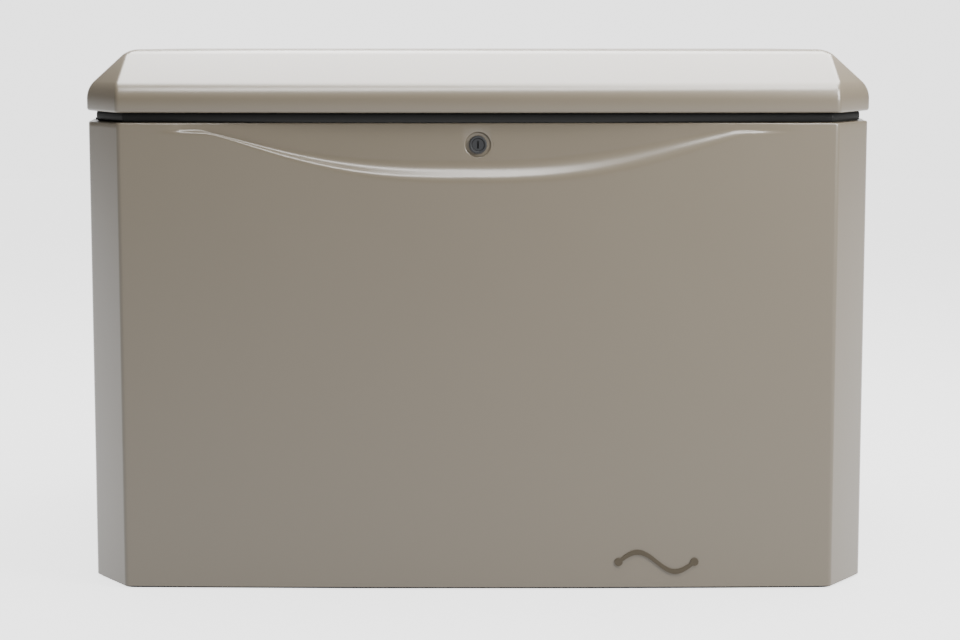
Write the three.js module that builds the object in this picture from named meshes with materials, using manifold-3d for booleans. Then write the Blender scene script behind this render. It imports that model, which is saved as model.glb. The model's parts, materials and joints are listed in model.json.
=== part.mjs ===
// A home standby generator: a weatherproof enclosure with a lockable hinged roof, holding an
// air-cooled single-cylinder engine, its alternator, a starting battery and the controls.
// Millimetres. The front faces -Y, +X is to the right, and z = 0 is the pad that the set stands on.
import * as THREE from "three";
import { mergeVertices } from "three/addons/utils/BufferGeometryUtils.js";
import Module from "manifold-3d";

const wasm = await Module();
wasm.setup();

// ---- Driving dimensions: enclosure ----
const ROOF_WIDTH = 948;
const ROOF_DEPTH = 652;
const ROOF_OVERHANG = 1.5;
const ROOF_WALL = 4;
const ROOF_BOTTOM = 576;
const ROOF_LIP = 14;
const ROOF_RISE = 61;
const ROOF_SLOPE = 42;
const ROOF_LOWER_RADIUS = 30;
const ROOF_UPPER_RADIUS = 26;
const ROOF_FRONT_STRETCH = 1.2;
const ROOF_REAR_FALL = 12;
const ROOF_EDGE_RADIUS = 3;
const BODY_TOP = 564;
const BODY_BOTTOM = 3;
const BODY_WALL = 4;
const BODY_FLANGE = 22;
const BODY_RIM_CHAMFER = 2;
const CORNER_X = 45;
const CORNER_Y = 67;
const CORNER_RADIUS = 20;
const FRONT_CROWN = 7;
const PANEL_SEAM = 1.2;
const FRONT_RETURN = 30;
const REAR_RETURN = 20;
const SCOOP_HALF_WIDTH = 400;
const SCOOP_DROP = 66;
const SCOOP_LEDGE = 14;
const SCOOP_DEPTH = 11;
const SCOOP_END_DEPTH = 3;
const GASKET_INSET = 9.5;
const GASKET_WIDTH = 10;
const FRAME_WIDTH = 34;
const FRAME_THICK = 4;
const LINER_THICK = 12;
const HINGE_LENGTH = 700;
const HINGE_KNUCKLE_RADIUS = 3.9;
const HINGE_PIN_RADIUS = 2;
const HINGE_LEAF = 2;
const HINGE_KNUCKLES = 5;
const PAN_FLOOR = 6;
const PAN_RIM = 60;
const PAN_WALL = 3;
const BULKHEAD_X = -264;
const BULKHEAD_TOP = 540;
const SHEET = 2.5;
const LOUVRE_LENGTH = 150;
const LOUVRE_HEIGHT = 7;
const LOUVRE_PITCH = 24;
const LOUVRE_HOOD = 6;
const BADGE_X = 216;
const BADGE_Z = 34;
const BADGE_WIDTH = 92;
const BADGE_HEIGHT = 30;
const BADGE_THICK = 1.4;

// ---- Driving dimensions: lock and prop ----
const LOCK_DROP = 26;
const LOCK_RADIUS = 9.5;
const LOCK_HEAD_RADIUS = 11.5;
const LOCK_PLUG_RADIUS = 7.2;
const LOCK_REACH = 14;
const CAM_LENGTH = 25.5;
const CAM_WIDTH = 13;
const CAM_THICK = 3;
const KEEPER_STRIP = 6;
const KEEPER_DEPTH = 12;
const KEEPER_SET_BACK = 4.4;
const PROP_LENGTH = 300;
const PROP_RADIUS = 4;
const PROP_SIDE_GAP = 38;
const PROP_FROM_SPLIT = 60;

// ---- Driving dimensions: engine and alternator ----
const ENGINE_X = 60;
const ENGINE_Y = 20;
const CRANK_Z = 168;
const MOUNT_HEIGHT = 38;
const MOUNT_RADIUS = 21;
const CRADLE_THICK = 6;
const CRADLE_LENGTH = 430;
const CRADLE_WIDTH = 250;
const CRADLE_FLANGE = 22;
const CASE_LENGTH = 140;
const CASE_WIDTH = 180;
const CASE_TOP = 82;
const CASE_WALL = 9;
const BORE_RADIUS = 44;
const STROKE = 66;
const ROD_LENGTH = 108;
const FIN_WIDTH = 136;
const FIN_COUNT = 7;
const FIN_THICK = 3;
const FIN_PITCH = 14;
const BARREL_WALL = 8;
const HEAD_HEIGHT = 58;
const ROCKER_HEIGHT = 40;
const JOURNAL_RADIUS = 17;
const CRANK_PIN_RADIUS = 16;
const WEB_RADIUS = 60;
const WEB_THICK = 12;
const FLYWHEEL_RADIUS = 96;
const FLYWHEEL_THICK = 20;
const FAN_BLADE = 24;
const FAN_BLADES = 12;
const SHROUD_RADIUS = 112;
const SHROUD_WALL = 2.5;
const STATOR_RADIUS = 98;
const STATOR_LENGTH = 150;
const STATOR_WALL = 7;
const ROTOR_RADIUS = 66;
const AIR_GAP = 1.8;
const BELL_LENGTH = 34;
const ROTOR_SHAFT = 13;

// ---- Driving dimensions: exhaust, intake, fuel, oil ----
const MUFFLER_RADIUS = 66;
const MUFFLER_LENGTH = 250;
const MUFFLER_X = 350;
const MUFFLER_Z = 330;
const MUFFLER_Y = 70;
const PIPE_RADIUS = 15;
const PIPE_WALL = 2;
const TAIL_RADIUS = 17;
const MIXER_SIZE = 56;
const MIXER_BORE = 17;
const AIR_BOX_WIDTH = 150;
const AIR_BOX_HEIGHT = 120;
const AIR_BOX_DEPTH = 62;
const THROTTLE_SHAFT = 3.5;
const OIL_FILTER_RADIUS = 36;
const OIL_FILTER_LENGTH = 72;
const OIL_CAP_RADIUS = 17;
const DRAIN_RADIUS = 9;
const REGULATOR_RADIUS = 62;
const HOSE_RADIUS = 9;
const STARTER_RADIUS = 34;
const STARTER_LENGTH = 150;

// ---- Driving dimensions: battery and controls ----
const BATTERY_WIDTH = 132;
const BATTERY_LENGTH = 197;
const BATTERY_HEIGHT = 186;
const BATTERY_GAP = 26;
const CONTROL_WIDTH = 176;
const CONTROL_HEIGHT = 220;
const CONTROL_DEPTH = 110;
const CONTROL_Z = 318;
const CONTROL_FRONT = -286;
const LENS_WIDTH = 84;
const LENS_HEIGHT = 44;
const BUTTON_RADIUS = 10;
const BUTTON_PROUD = 4;
const BREAKER_THROAT_WIDTH = 20;
const BREAKER_THROAT_HEIGHT = 34;
const BREAKER_PIVOT = 14;

const FUEL_FROM_BULKHEAD = 96;
const FUEL_FROM_REAR = 145;
const FUEL_HEIGHT = 250;

// ---- Clearances ----
const SEAT = 0.3;
const RUN = 0.4;
const SIDES = 18;
const CROWN_STEPS = 6;

// ---- Finishes ----
const finish = (color, roughness, metalness) =>
  new THREE.MeshStandardMaterial({ color, roughness, metalness });
const SHELL = finish(0xb5ae9f, 0.42, 0.05);
const SEAL = finish(0x2a2a28, 0.7, 0);
const FOAM = finish(0x3a3a3a, 0.95, 0);
const STEEL = finish(0x8b8d8f, 0.4, 0.9);
const DARK_STEEL = finish(0x2b2c2e, 0.5, 0.6);
const CASTING = finish(0xa4a6a6, 0.55, 0.8);
const IRON = finish(0x5a5754, 0.7, 0.7);
const RUBBER = finish(0x1d1d1d, 0.85, 0);
const PLASTIC = finish(0x262729, 0.6, 0);
const COPPER = finish(0xa8643a, 0.45, 0.8);
const BRASS = finish(0xb89a54, 0.35, 0.9);
const GLASS = finish(0x39464a, 0.1, 0);
const RED = finish(0xa3281f, 0.5, 0);
const GREEN = finish(0x3c7a45, 0.5, 0);
const MARK = finish(0x665f54, 0.6, 0.2);

// ---- Solids: three.js geometry in, joined or cut with manifold-3d, geometry out ----
function solid(geometry) {
  const bare = geometry.clone();
  bare.deleteAttribute("normal");
  bare.deleteAttribute("uv");
  const merged = mergeVertices(bare, 1e-4);
  return new wasm.Manifold(
    new wasm.Mesh({
      numProp: 3,
      vertProperties: merged.attributes.position.array,
      triVerts: new Uint32Array(merged.index.array),
    }),
  );
}

function geometryOf(shape) {
  const mesh = shape.getMesh();
  return new THREE.BufferGeometry()
    .setAttribute("position", new THREE.BufferAttribute(Float32Array.from(mesh.vertProperties), 3))
    .setIndex(new THREE.BufferAttribute(Uint32Array.from(mesh.triVerts), 1));
}

const join = (...shapes) => shapes.reduce((whole, next) => whole.add(next));
const cut = (whole, ...tools) => tools.reduce((left, tool) => left.subtract(tool), whole);

// A box given by its lowest and highest corners.
function block(low, high) {
  const size = high.map((v, i) => v - low[i]);
  const middle = high.map((v, i) => (v + low[i]) / 2);
  return solid(new THREE.BoxGeometry(...size).translate(...middle));
}

// A round bar about one axis ("x", "y" or "z"), from one place on it to another.
function bar(axis, centre, radius, from, to, sides = SIDES) {
  const shape = new THREE.CylinderGeometry(radius, radius, to - from, sides);
  const [u, v] = centre;
  const middle = (from + to) / 2;
  if (axis === "x") shape.rotateZ(-Math.PI / 2).translate(middle, u, v);
  if (axis === "y") shape.translate(u, middle, v);
  if (axis === "z") shape.rotateX(Math.PI / 2).translate(u, v, middle);
  return solid(shape);
}

// A turned piece: its profile is [radius, height] pairs that start and end on the axis, or a closed
// ring. It stands on the axis named, at the centre given.
function turned(profile, axis = "z", centre = [0, 0, 0], sides = SIDES) {
  const points = profile.map(([r, h]) => new THREE.Vector2(r, h));
  const shape = new THREE.LatheGeometry(points, sides);
  if (axis === "z") shape.rotateX(Math.PI / 2);
  if (axis === "x") shape.rotateZ(-Math.PI / 2);
  return solid(shape.translate(...centre));
}

// A ring-shaped turned piece, closed on itself.
const ring = (inner, outer, from, to, axis, centre, sides) =>
  turned([[inner, from], [outer, from], [outer, to], [inner, to], [inner, from]], axis, centre, sides);

// A flat outline of [x, y] points, raised from one height to another.
function raise(points, from, to) {
  const shape = new THREE.Shape(points.map(([x, y]) => new THREE.Vector2(x, y)));
  const body = new THREE.ExtrudeGeometry(shape, { depth: to - from, bevelEnabled: false });
  return solid(body.translate(0, 0, from));
}

// The same, standing up: the outline is [x, z], and it is raised along +Y.
function raiseFront(points, from, to) {
  const shape = new THREE.Shape(points.map(([x, z]) => new THREE.Vector2(x, z)));
  const body = new THREE.ExtrudeGeometry(shape, { depth: to - from, bevelEnabled: false });
  return solid(body.rotateX(Math.PI / 2).translate(0, to, 0));
}

// A rectangle with rounded corners, as [u, v] points.
function softRectangle(low, high, radius, steps = 3) {
  const corners = [
    [high[0] - radius, high[1] - radius, 0],
    [low[0] + radius, high[1] - radius, 90],
    [low[0] + radius, low[1] + radius, 180],
    [high[0] - radius, low[1] + radius, 270],
  ];
  return corners.flatMap(([u, v, start]) =>
    Array.from({ length: steps + 1 }, (_, i) => {
      const angle = THREE.MathUtils.degToRad(start + (90 * i) / steps);
      return [u + radius * Math.cos(angle), v + radius * Math.sin(angle)];
    }),
  );
}

// A round tube or rod along a smooth curve through the given points.
function alongCurve(points, radius, steps, sides, inner = 0) {
  const curve = new THREE.CatmullRomCurve3(points.map((p) => new THREE.Vector3(...p)));
  const section = new THREE.Shape(circle(radius, sides));
  if (inner > 0) section.holes.push(new THREE.Path(circle(inner, sides)));
  const options = { steps, bevelEnabled: false, extrudePath: curve };
  return solid(new THREE.ExtrudeGeometry(section, options));
}

const circle = (radius, sides) =>
  Array.from({ length: sides }, (_, i) => {
    const angle = (2 * Math.PI * i) / sides;
    return new THREE.Vector2(radius * Math.cos(angle), radius * Math.sin(angle));
  });

// A closed solid through a stack of rings that all have the same number of points.
function loft(rings) {
  const count = rings[0].length;
  const positions = rings.flat(2);
  const faces = [];
  for (let level = 0; level < rings.length - 1; level += 1) {
    for (let i = 0; i < count; i += 1) {
      const a = level * count + i;
      const b = level * count + ((i + 1) % count);
      faces.push(a, b, b + count, a, b + count, a + count);
    }
  }
  const top = (rings.length - 1) * count;
  for (let i = 1; i < count - 1; i += 1) {
    faces.push(0, i + 1, i);
    faces.push(top, top + i, top + i + 1);
  }
  return solid(
    new THREE.BufferGeometry()
      .setAttribute("position", new THREE.Float32BufferAttribute(positions, 3))
      .setIndex(faces),
  );
}

function piece(group, name, shape, material, position = [0, 0, 0]) {
  const mesh = new THREE.Mesh(geometryOf(shape), material);
  mesh.name = name;
  mesh.position.set(...position);
  group.add(mesh);
  return mesh;
}

// ---- The plan outline that the roof and the body share ----
const bodyHalfX = ROOF_WIDTH / 2 - ROOF_OVERHANG;
const bodyHalfY = ROOF_DEPTH / 2 - ROOF_OVERHANG;

const fuelX = BULKHEAD_X - FUEL_FROM_BULKHEAD;
const fuelY = bodyHalfY - FUEL_FROM_REAR;
const fuelZ = FUEL_HEIGHT;

// The corners of a rectangle with cut corners and a front face crowned outward in the middle.
function planCorners(halfX, halfY, cutX, cutY) {
  const frontX = halfX - cutX;
  const crown = Array.from({ length: CROWN_STEPS + 1 }, (_, i) => {
    const x = frontX * ((2 * i) / CROWN_STEPS - 1);
    return [x, -halfY + FRONT_CROWN * (x / frontX) ** 2];
  });
  return [
    ...crown,
    [halfX, -halfY + FRONT_CROWN + cutY],
    [halfX, halfY - cutY],
    [frontX, halfY],
    [-frontX, halfY],
    [-halfX, halfY - cutY],
    [-halfX, -halfY + FRONT_CROWN + cutY],
  ];
}

// Moves each side of a convex outline inward by the same distance.
function inset(points, distance) {
  const lines = points.map(([x, y], i) => {
    const [nextX, nextY] = points[(i + 1) % points.length];
    const length = Math.hypot(nextX - x, nextY - y);
    const normal = [-(nextY - y) / length, (nextX - x) / length];
    return { x: x + normal[0] * distance, y: y + normal[1] * distance, dx: nextX - x, dy: nextY - y };
  });
  return lines.map((line, i) => {
    const before = lines[(i + lines.length - 1) % lines.length];
    const cross = before.dx * line.dy - before.dy * line.dx;
    const t = ((line.x - before.x) * line.dy - (line.y - before.y) * line.dx) / cross;
    return [before.x + before.dx * t, before.y + before.dy * t];
  });
}

// Rounds the sharp corners of an outline; nearly straight ones stay as they are.
function soften(points, radius, steps = 3) {
  return points.flatMap((point, i) => {
    const before = new THREE.Vector2(...points[(i + points.length - 1) % points.length]);
    const after = new THREE.Vector2(...points[(i + 1) % points.length]);
    const here = new THREE.Vector2(...point);
    const back = before.clone().sub(here);
    const forward = after.clone().sub(here);
    const turn = Math.PI - Math.abs(back.angleTo(forward));
    if (turn < 0.15) return [point];
    const reach = Math.min(radius * Math.tan(turn / 2), 0.45 * back.length(), 0.45 * forward.length());
    const start = here.clone().add(back.setLength(reach));
    const end = here.clone().add(forward.setLength(reach));
    const curve = new THREE.QuadraticBezierCurve(start, here, end);
    return curve.getPoints(steps).map((p) => [p.x, p.y]);
  });
}

const bodyPlan = (distance) =>
  soften(
    inset(planCorners(bodyHalfX, bodyHalfY, CORNER_X, CORNER_Y), distance),
    Math.max(CORNER_RADIUS - distance, 4),
  );

// A wall that follows the body outline between two insets and two heights.
const bodyBand = (outer, inner, from, to) =>
  cut(raise(bodyPlan(outer), from, to), raise(bodyPlan(inner), from - 1, to + 1));

// ---- Roof ----
// One level of the roof: the cut corner dies out as the sides slope in.
function roofRing(distance, height, lift) {
  const halfX = ROOF_WIDTH / 2 - distance;
  const halfY = ROOF_DEPTH / 2 - distance * ROOF_FRONT_STRETCH;
  const cutX = Math.max(CORNER_X - distance, 5);
  const cutY = Math.max(CORNER_Y - distance * (ROOF_FRONT_STRETCH + 0.2), 6);
  const plan = soften(planCorners(halfX, halfY, cutX, cutY), CORNER_RADIUS);
  return plan.map(([x, y]) => [x, y, height - lift * ROOF_REAR_FALL * (0.5 + y / ROOF_DEPTH)]);
}

// The roof's section as [inset, height] from its lower edge to its flat top.
function roofProfile(wall) {
  const slope = THREE.MathUtils.degToRad(ROOF_SLOPE);
  const lipTop = ROOF_BOTTOM + ROOF_LIP;
  const top = lipTop + ROOF_RISE - wall;
  const lower = Math.PI / 2 - slope;
  const lowRadius = ROOF_LOWER_RADIUS - wall;
  const highRadius = ROOF_UPPER_RADIUS - wall / 2;
  const arcEndX = wall + lowRadius * (1 - Math.cos(lower));
  const arcEndZ = lipTop + lowRadius * Math.sin(lower);
  const rollZ = top - highRadius * (1 - Math.cos(slope));
  const rollX = arcEndX + (rollZ - arcEndZ) / Math.tan(slope);
  const steps = 3;
  const turns = Array.from({ length: steps + 1 }, (_, i) => i / steps);
  const low = turns.map((t) => [
    wall + lowRadius * (1 - Math.cos(lower * t)),
    lipTop + lowRadius * Math.sin(lower * t),
  ]);
  const high = turns.map((t) => [
    rollX + highRadius * (Math.sin(slope) - Math.sin(slope * (1 - t))),
    rollZ + highRadius * (Math.cos(slope * (1 - t)) - Math.cos(slope)),
  ]);
  return [...low, ...high];
}

function roofSolid(wall, bottom, edge) {
  const profile = roofProfile(wall);
  const lipTop = ROOF_BOTTOM + ROOF_LIP;
  const rings = profile.map(([distance, height]) =>
    roofRing(distance, height, (height - lipTop) / ROOF_RISE),
  );
  const foot = [roofRing(wall + edge, bottom, 0)];
  if (edge > 0) foot.push(roofRing(wall, bottom + edge, 0));
  return loft([...foot, ...rings]);
}

const roofShell = () => cut(roofSolid(0, ROOF_BOTTOM, ROOF_EDGE_RADIUS), roofSolid(ROOF_WALL, ROOF_BOTTOM - 1, 0));

const frameOuter = ROOF_OVERHANG + ROOF_WALL + SEAT;

// A flat ring inside the roof lip that carries the hinge, the keeper and the prop.
function roofFrame() {
  const low = ROOF_BOTTOM + SEAT;
  const outer = raise(bodyPlan(frameOuter - ROOF_OVERHANG), low, low + FRAME_THICK);
  const inner = raise(bodyPlan(frameOuter + FRAME_WIDTH), low - 1, low + FRAME_THICK + 1);
  return cut(outer, inner);
}

function roofLiner() {
  const top = ROOF_BOTTOM + ROOF_LIP + ROOF_RISE - ROOF_WALL - SEAT;
  const halfX = ROOF_WIDTH / 2 - 80;
  const halfY = ROOF_DEPTH / 2 - 92;
  const plan = softRectangle([-halfX, -halfY], [halfX, halfY], 12);
  const level = (z) => plan.map(([x, y]) => [x, y, z - ROOF_REAR_FALL * (0.5 + y / ROOF_DEPTH) * 0.98 - 0.4]);
  return loft([level(top - LINER_THICK), level(top)]);
}

const roofGasket = () =>
  bodyBand(GASKET_INSET, GASKET_INSET + GASKET_WIDTH, BODY_TOP + SEAT, ROOF_BOTTOM - SEAT);

// ---- Body panels: one drawn shell, cut into the four that come off ----
const frontSplit = -bodyHalfY + FRONT_CROWN + CORNER_Y + FRONT_RETURN;
const rearSplit = bodyHalfY - CORNER_Y - REAR_RETURN;

function bodyShell() {
  const walls = bodyBand(0, BODY_WALL, BODY_BOTTOM, BODY_TOP - BODY_RIM_CHAMFER);
  const rim = cut(
    loft([
      bodyPlan(0).map(([x, y]) => [x, y, BODY_TOP - BODY_RIM_CHAMFER]),
      bodyPlan(BODY_RIM_CHAMFER).map(([x, y]) => [x, y, BODY_TOP]),
    ]),
    raise(bodyPlan(BODY_WALL), BODY_TOP - BODY_WALL, BODY_TOP + 1),
  );
  const flange = bodyBand(BODY_WALL - 0.5, BODY_FLANGE, BODY_TOP - BODY_WALL, BODY_TOP - SEAT);
  return join(walls, rim, flange);
}

const slab = (fromX, toX, fromY, toY) =>
  block([fromX, fromY, -1], [toX, toY, ROOF_BOTTOM]);

// How far the scoop's edge lies under the body's top at a given x.
const scoopDrop = (x) =>
  SCOOP_DROP * 0.5 * (1 + Math.cos(Math.PI * Math.min(1, Math.abs(x / SCOOP_HALF_WIDTH)) ** 1.4));

// The front face is drawn in flat strips; this is where it lies at a given x.
const stripWidth = (2 * (bodyHalfX - CORNER_X)) / CROWN_STEPS;

function frontFaceY(x) {
  const strip = Math.floor(x / stripWidth);
  const crown = (n) => FRONT_CROWN * ((2 * n) / CROWN_STEPS) ** 2;
  return -bodyHalfY + THREE.MathUtils.lerp(crown(strip), crown(strip + 1), x / stripWidth - strip);
}

// The hollow under the roof at the front, grown by a margin so that its backing can be drawn too.
function scoop(margin, proud) {
  const pitch = SCOOP_HALF_WIDTH / 8;
  const half = 7;
  const rings = Array.from({ length: 2 * half + 1 }, (_, i) => {
    const atEnd = Math.abs(i - half) === half;
    const x = pitch * (i - half) + (atEnd ? Math.sign(i - half) * margin : 0);
    const drop = scoopDrop(x);
    const share = Math.min(1, drop / SCOOP_DROP);
    const face = frontFaceY(x);
    const depth = SCOOP_END_DEPTH + (SCOOP_DEPTH - SCOOP_END_DEPTH) * Math.sqrt(share) + margin;
    const low = BODY_TOP - drop - margin;
    const ledge = low + SCOOP_LEDGE * share;
    const top = BODY_TOP + (margin > 0 ? -SEAT : 6);
    return [
      [x, face - proud, low],
      [x, face + depth, Math.min(ledge, top - 0.5)],
      [x, face + depth, top],
      [x, face - proud, top],
    ];
  });
  return loft(rings);
}

function frontPanel() {
  const shell = bodyShell().intersect(slab(-ROOF_WIDTH, ROOF_WIDTH, -ROOF_DEPTH, frontSplit));
  const backing = scoop(BODY_WALL, -BODY_RIM_CHAMFER - 0.5);
  const lockHole = bar("y", [0, BODY_TOP - LOCK_DROP], LOCK_RADIUS + RUN, -ROOF_DEPTH, 0);
  return cut(join(shell, backing), scoop(0, 20), lockHole);
}

// A row of slots in a wall, each under a hood that turns rain away.
function louvres(wall, axis, side, centre, count, low) {
  let result = wall;
  for (let i = 0; i < count; i += 1) {
    const z = low + i * LOUVRE_PITCH;
    const [a, b] = [centre - LOUVRE_LENGTH / 2, centre + LOUVRE_LENGTH / 2];
    const inner = (axis === "x" ? bodyHalfX : bodyHalfY) - BODY_WALL;
    const reach = inner - LOUVRE_HOOD;
    const across = (near, far, from, to) => {
      const [p, q] = side > 0 ? [near, far] : [-far, -near];
      return axis === "x" ? block([p, a, from], [q, b, to]) : block([a, p, from], [b, q, to]);
    };
    const hood = across(reach, inner + 1, z + LOUVRE_HEIGHT, z + LOUVRE_HEIGHT + 2);
    result = cut(join(result, hood), across(inner - 1, inner + BODY_WALL + 1, z, z + LOUVRE_HEIGHT));
  }
  return result;
}

function endPanel(side) {
  const wall = bodyShell().intersect(
    side > 0
      ? slab(0, ROOF_WIDTH, frontSplit + PANEL_SEAM, rearSplit - PANEL_SEAM)
      : slab(-ROOF_WIDTH, 0, frontSplit + PANEL_SEAM, rearSplit - PANEL_SEAM),
  );
  const louvreY = side > 0 ? ENGINE_Y : -ENGINE_Y * 2;
  return louvres(wall, "x", side, louvreY, side > 0 ? 11 : 6, side > 0 ? 130 : 330);
}

function rearPanel() {
  const wall = bodyShell().intersect(slab(-ROOF_WIDTH, ROOF_WIDTH, rearSplit, ROOF_DEPTH));
  const vented = louvres(wall, "y", 1, 130, 8, 250);
  const tailHole = bar("y", [MUFFLER_X, MUFFLER_Z], TAIL_RADIUS + 6, 0, ROOF_DEPTH);
  const fuelHole = bar("y", [fuelX, fuelZ], HOSE_RADIUS + 5, 0, ROOF_DEPTH);
  return cut(vented, tailHole, fuelHole);
}

function badge() {
  const halfW = BADGE_WIDTH / 2;
  const halfH = BADGE_HEIGHT / 2;
  const steps = 24;
  const line = (offset) =>
    Array.from({ length: steps + 1 }, (_, i) => {
      const t = i / steps;
      return [halfW * (2 * t - 1), (halfH - 3) * Math.sin(2 * Math.PI * t) + offset];
    });
  const outline = [...line(-3), ...line(3).reverse()];
  const wave = raiseFront(outline, -BADGE_THICK - SEAT, -SEAT);
  const ends = [-halfW, halfW].map((x) => bar("y", [x, 0], 5, -BADGE_THICK - SEAT, -SEAT, 16));
  return join(wave, ...ends);
}

function basePan() {
  const outer = BODY_WALL + SEAT;
  const tub = raise(bodyPlan(outer), 0, PAN_RIM);
  const hollow = raise(bodyPlan(outer + PAN_WALL), PAN_FLOOR, PAN_RIM + 1);
  const drain = bar("z", [0, -bodyHalfY * 0.75], 6, -1, PAN_FLOOR + 1, 12);
  return cut(tub, hollow, drain);
}

function bulkhead() {
  const halfY = bodyHalfY - BODY_FLANGE - 16;
  const low = PAN_FLOOR + SEAT;
  const sheet = block([0, -halfY, low], [SHEET, halfY, BULKHEAD_TOP]);
  const foot = block([0, -halfY, low], [22, halfY, low + SHEET]);
  const fold = block([0, -halfY, BULKHEAD_TOP - SHEET], [18, halfY, BULKHEAD_TOP]);
  const hoseHole = bar("x", [fuelY, fuelZ], HOSE_RADIUS + 8, -1, SHEET + 1, 16);
  const airHole = bar("x", [ENGINE_Y, CRANK_Z], STATOR_RADIUS * 0.72, -1, SHEET + 1);
  return cut(join(sheet, foot, fold), hoseHole, airHole);
}

// ---- Roof hinge: two strips with alternating knuckles on one pin ----
const hingeY = bodyHalfY - HINGE_KNUCKLE_RADIUS - 0.7;
const hingeZ = (BODY_TOP + ROOF_BOTTOM) / 2;
const knuckleLength = HINGE_LENGTH / HINGE_KNUCKLES;

function hingeLeaf(first, side) {
  const half = HINGE_LENGTH / 2;
  const rest = (ROOF_BOTTOM - BODY_TOP) / 2;
  const plate = rest - HINGE_LEAF + 0.2;
  const span = (a, b) => (side > 0 ? [a, b] : [-b, -a]);
  const [low, high] = span(plate, rest);
  const [webLow, webHigh] = span(2, rest);
  let leaf = block([-half, -4.2, low], [half, side > 0 ? 1.6 : 3.6, high]);
  for (let i = first; i < HINGE_KNUCKLES; i += 2) {
    const from = -half + i * knuckleLength + RUN;
    const to = from + knuckleLength - 2 * RUN;
    leaf = join(leaf, bar("x", [0, 0], HINGE_KNUCKLE_RADIUS, from, to, 12));
    leaf = join(leaf, block([from, -2, webLow], [to, 1.6, webHigh]));
  }
  return side > 0 ? cut(leaf, bar("x", [0, 0], HINGE_PIN_RADIUS + RUN / 2, -half - 1, half + 1, 12)) : leaf;
}

const hingePin = () =>
  bar("x", [0, 0], HINGE_PIN_RADIUS, -HINGE_LENGTH / 2 - 1, HINGE_LENGTH / 2 + 1, 12);

// ---- Lock, keeper and prop ----
const lockZ = BODY_TOP - LOCK_DROP;
const lockFace = -bodyHalfY + SCOOP_DEPTH;
const lockBack = lockFace + BODY_WALL + LOCK_REACH;

function lockBarrel() {
  const head = bar("y", [0, 0], LOCK_HEAD_RADIUS, lockFace - 2.6, lockFace - SEAT, 20);
  const body = bar("y", [0, 0], LOCK_RADIUS, lockFace - 1, lockBack, 20);
  const bore = bar("y", [0, 0], LOCK_PLUG_RADIUS + RUN / 2, lockFace - 4, lockBack + 1, 20);
  return cut(join(head, body), bore);
}

function lockPlug() {
  const plug = bar("y", [0, 0], LOCK_PLUG_RADIUS, lockFace - 2, lockBack + 3 * SEAT, 20);
  const slot = block([-0.9, lockFace - 3, -4.5], [0.9, lockFace + 6, 4.5]);
  return cut(plug, slot);
}

function lockCam() {
  const from = lockBack + 2 * SEAT;
  const eye = bar("y", [0, 0], CAM_WIDTH / 2, from, from + CAM_THICK);
  const arm = block([-CAM_WIDTH / 2, from, 0], [CAM_WIDTH / 2, from + CAM_THICK, CAM_LENGTH]);
  return join(eye, arm);
}

function roofKeeper() {
  const top = ROOF_BOTTOM - lockZ;
  const catchTop = -CAM_WIDTH / 2 - 1.5;
  const low = catchTop - 5;
  const from = lockBack + 2 * SEAT + (CAM_THICK - KEEPER_DEPTH) / 2 + KEEPER_SET_BACK;
  const strip = block([CAM_LENGTH + 2, from, low], [CAM_LENGTH + 2 + KEEPER_STRIP, from + KEEPER_DEPTH, top]);
  const ledge = block([CAM_LENGTH / 2, from, low], [CAM_LENGTH + 3, from + KEEPER_DEPTH, catchTop]);
  return join(strip, ledge);
}

const propX = bodyHalfX - PROP_SIDE_GAP;
const propY = frontSplit + PROP_FROM_SPLIT;
const propZ = BODY_TOP - 4;

function propRod() {
  const eye = cut(bar("x", [0, 0], 9, -4, 4), bar("x", [0, 0], 3 + RUN, -5, 5));
  const rod = bar("y", [0, 0], PROP_RADIUS, 8, PROP_LENGTH, 12);
  const tip = turned([[0, 0], [5, 1], [5, 13], [0, 14]], "z", [0, 0, 0], 16).rotate([90, 0, 0]);
  return join(eye, rod, tip.translate([0, PROP_LENGTH + 6, 0]));
}

function propPivot() {
  const lug = block([4 + RUN, -8, -8], [10, 8, ROOF_BOTTOM + 1 - propZ]);
  const pin = bar("x", [0, 0], 3, -7, 8, 16);
  const washer = bar("x", [0, 0], 6, -7, -4 - RUN, 16);
  return join(lug, pin, washer);
}

// ---- Powertrain, drawn about the crank axis, which runs along X ----
const cradleTop = PAN_FLOOR + SEAT + MOUNT_HEIGHT + SEAT + CRADLE_THICK;
const footZ = cradleTop + SEAT - CRANK_Z;
const cradleMiddle = ENGINE_X - STATOR_LENGTH / 2 + 5;
const caseX = CASE_LENGTH / 2;
const coverX = caseX + SEAT;
const coverEnd = coverX + CASE_WALL;
const barrelZ = CASE_TOP + SEAT;
const barrelTop = barrelZ + FIN_COUNT * FIN_PITCH + FIN_THICK;
const headZ = barrelTop + SEAT;
const headTop = headZ + HEAD_HEIGHT;
const portZ = headZ + HEAD_HEIGHT / 2;
const flywheelX = coverEnd + 4;
const bladeX = flywheelX + FLYWHEEL_THICK;
const shroudEnd = bladeX + FAN_BLADE + 10;
const statorEnd = -caseX - SEAT - 20 - STATOR_LENGTH;

const vibrationMount = () =>
  turned([
    [0, 0],
    [MOUNT_RADIUS, 0],
    [MOUNT_RADIUS, 6],
    [MOUNT_RADIUS - 5, MOUNT_HEIGHT / 2],
    [MOUNT_RADIUS, MOUNT_HEIGHT - 6],
    [MOUNT_RADIUS, MOUNT_HEIGHT],
    [0, MOUNT_HEIGHT],
  ], "z", [0, 0, 0], 16);

function cradle() {
  const [halfL, halfW] = [CRADLE_LENGTH / 2, CRADLE_WIDTH / 2];
  const plate = raise(softRectangle([-halfL, -halfW], [halfL, halfW], 14), 0, CRADLE_THICK);
  const flange = (y) => block([-halfL + 60, y, -CRADLE_FLANGE], [halfL - 60, y + 4, 1]);
  return join(plate, flange(-halfW), flange(halfW - 4));
}

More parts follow.
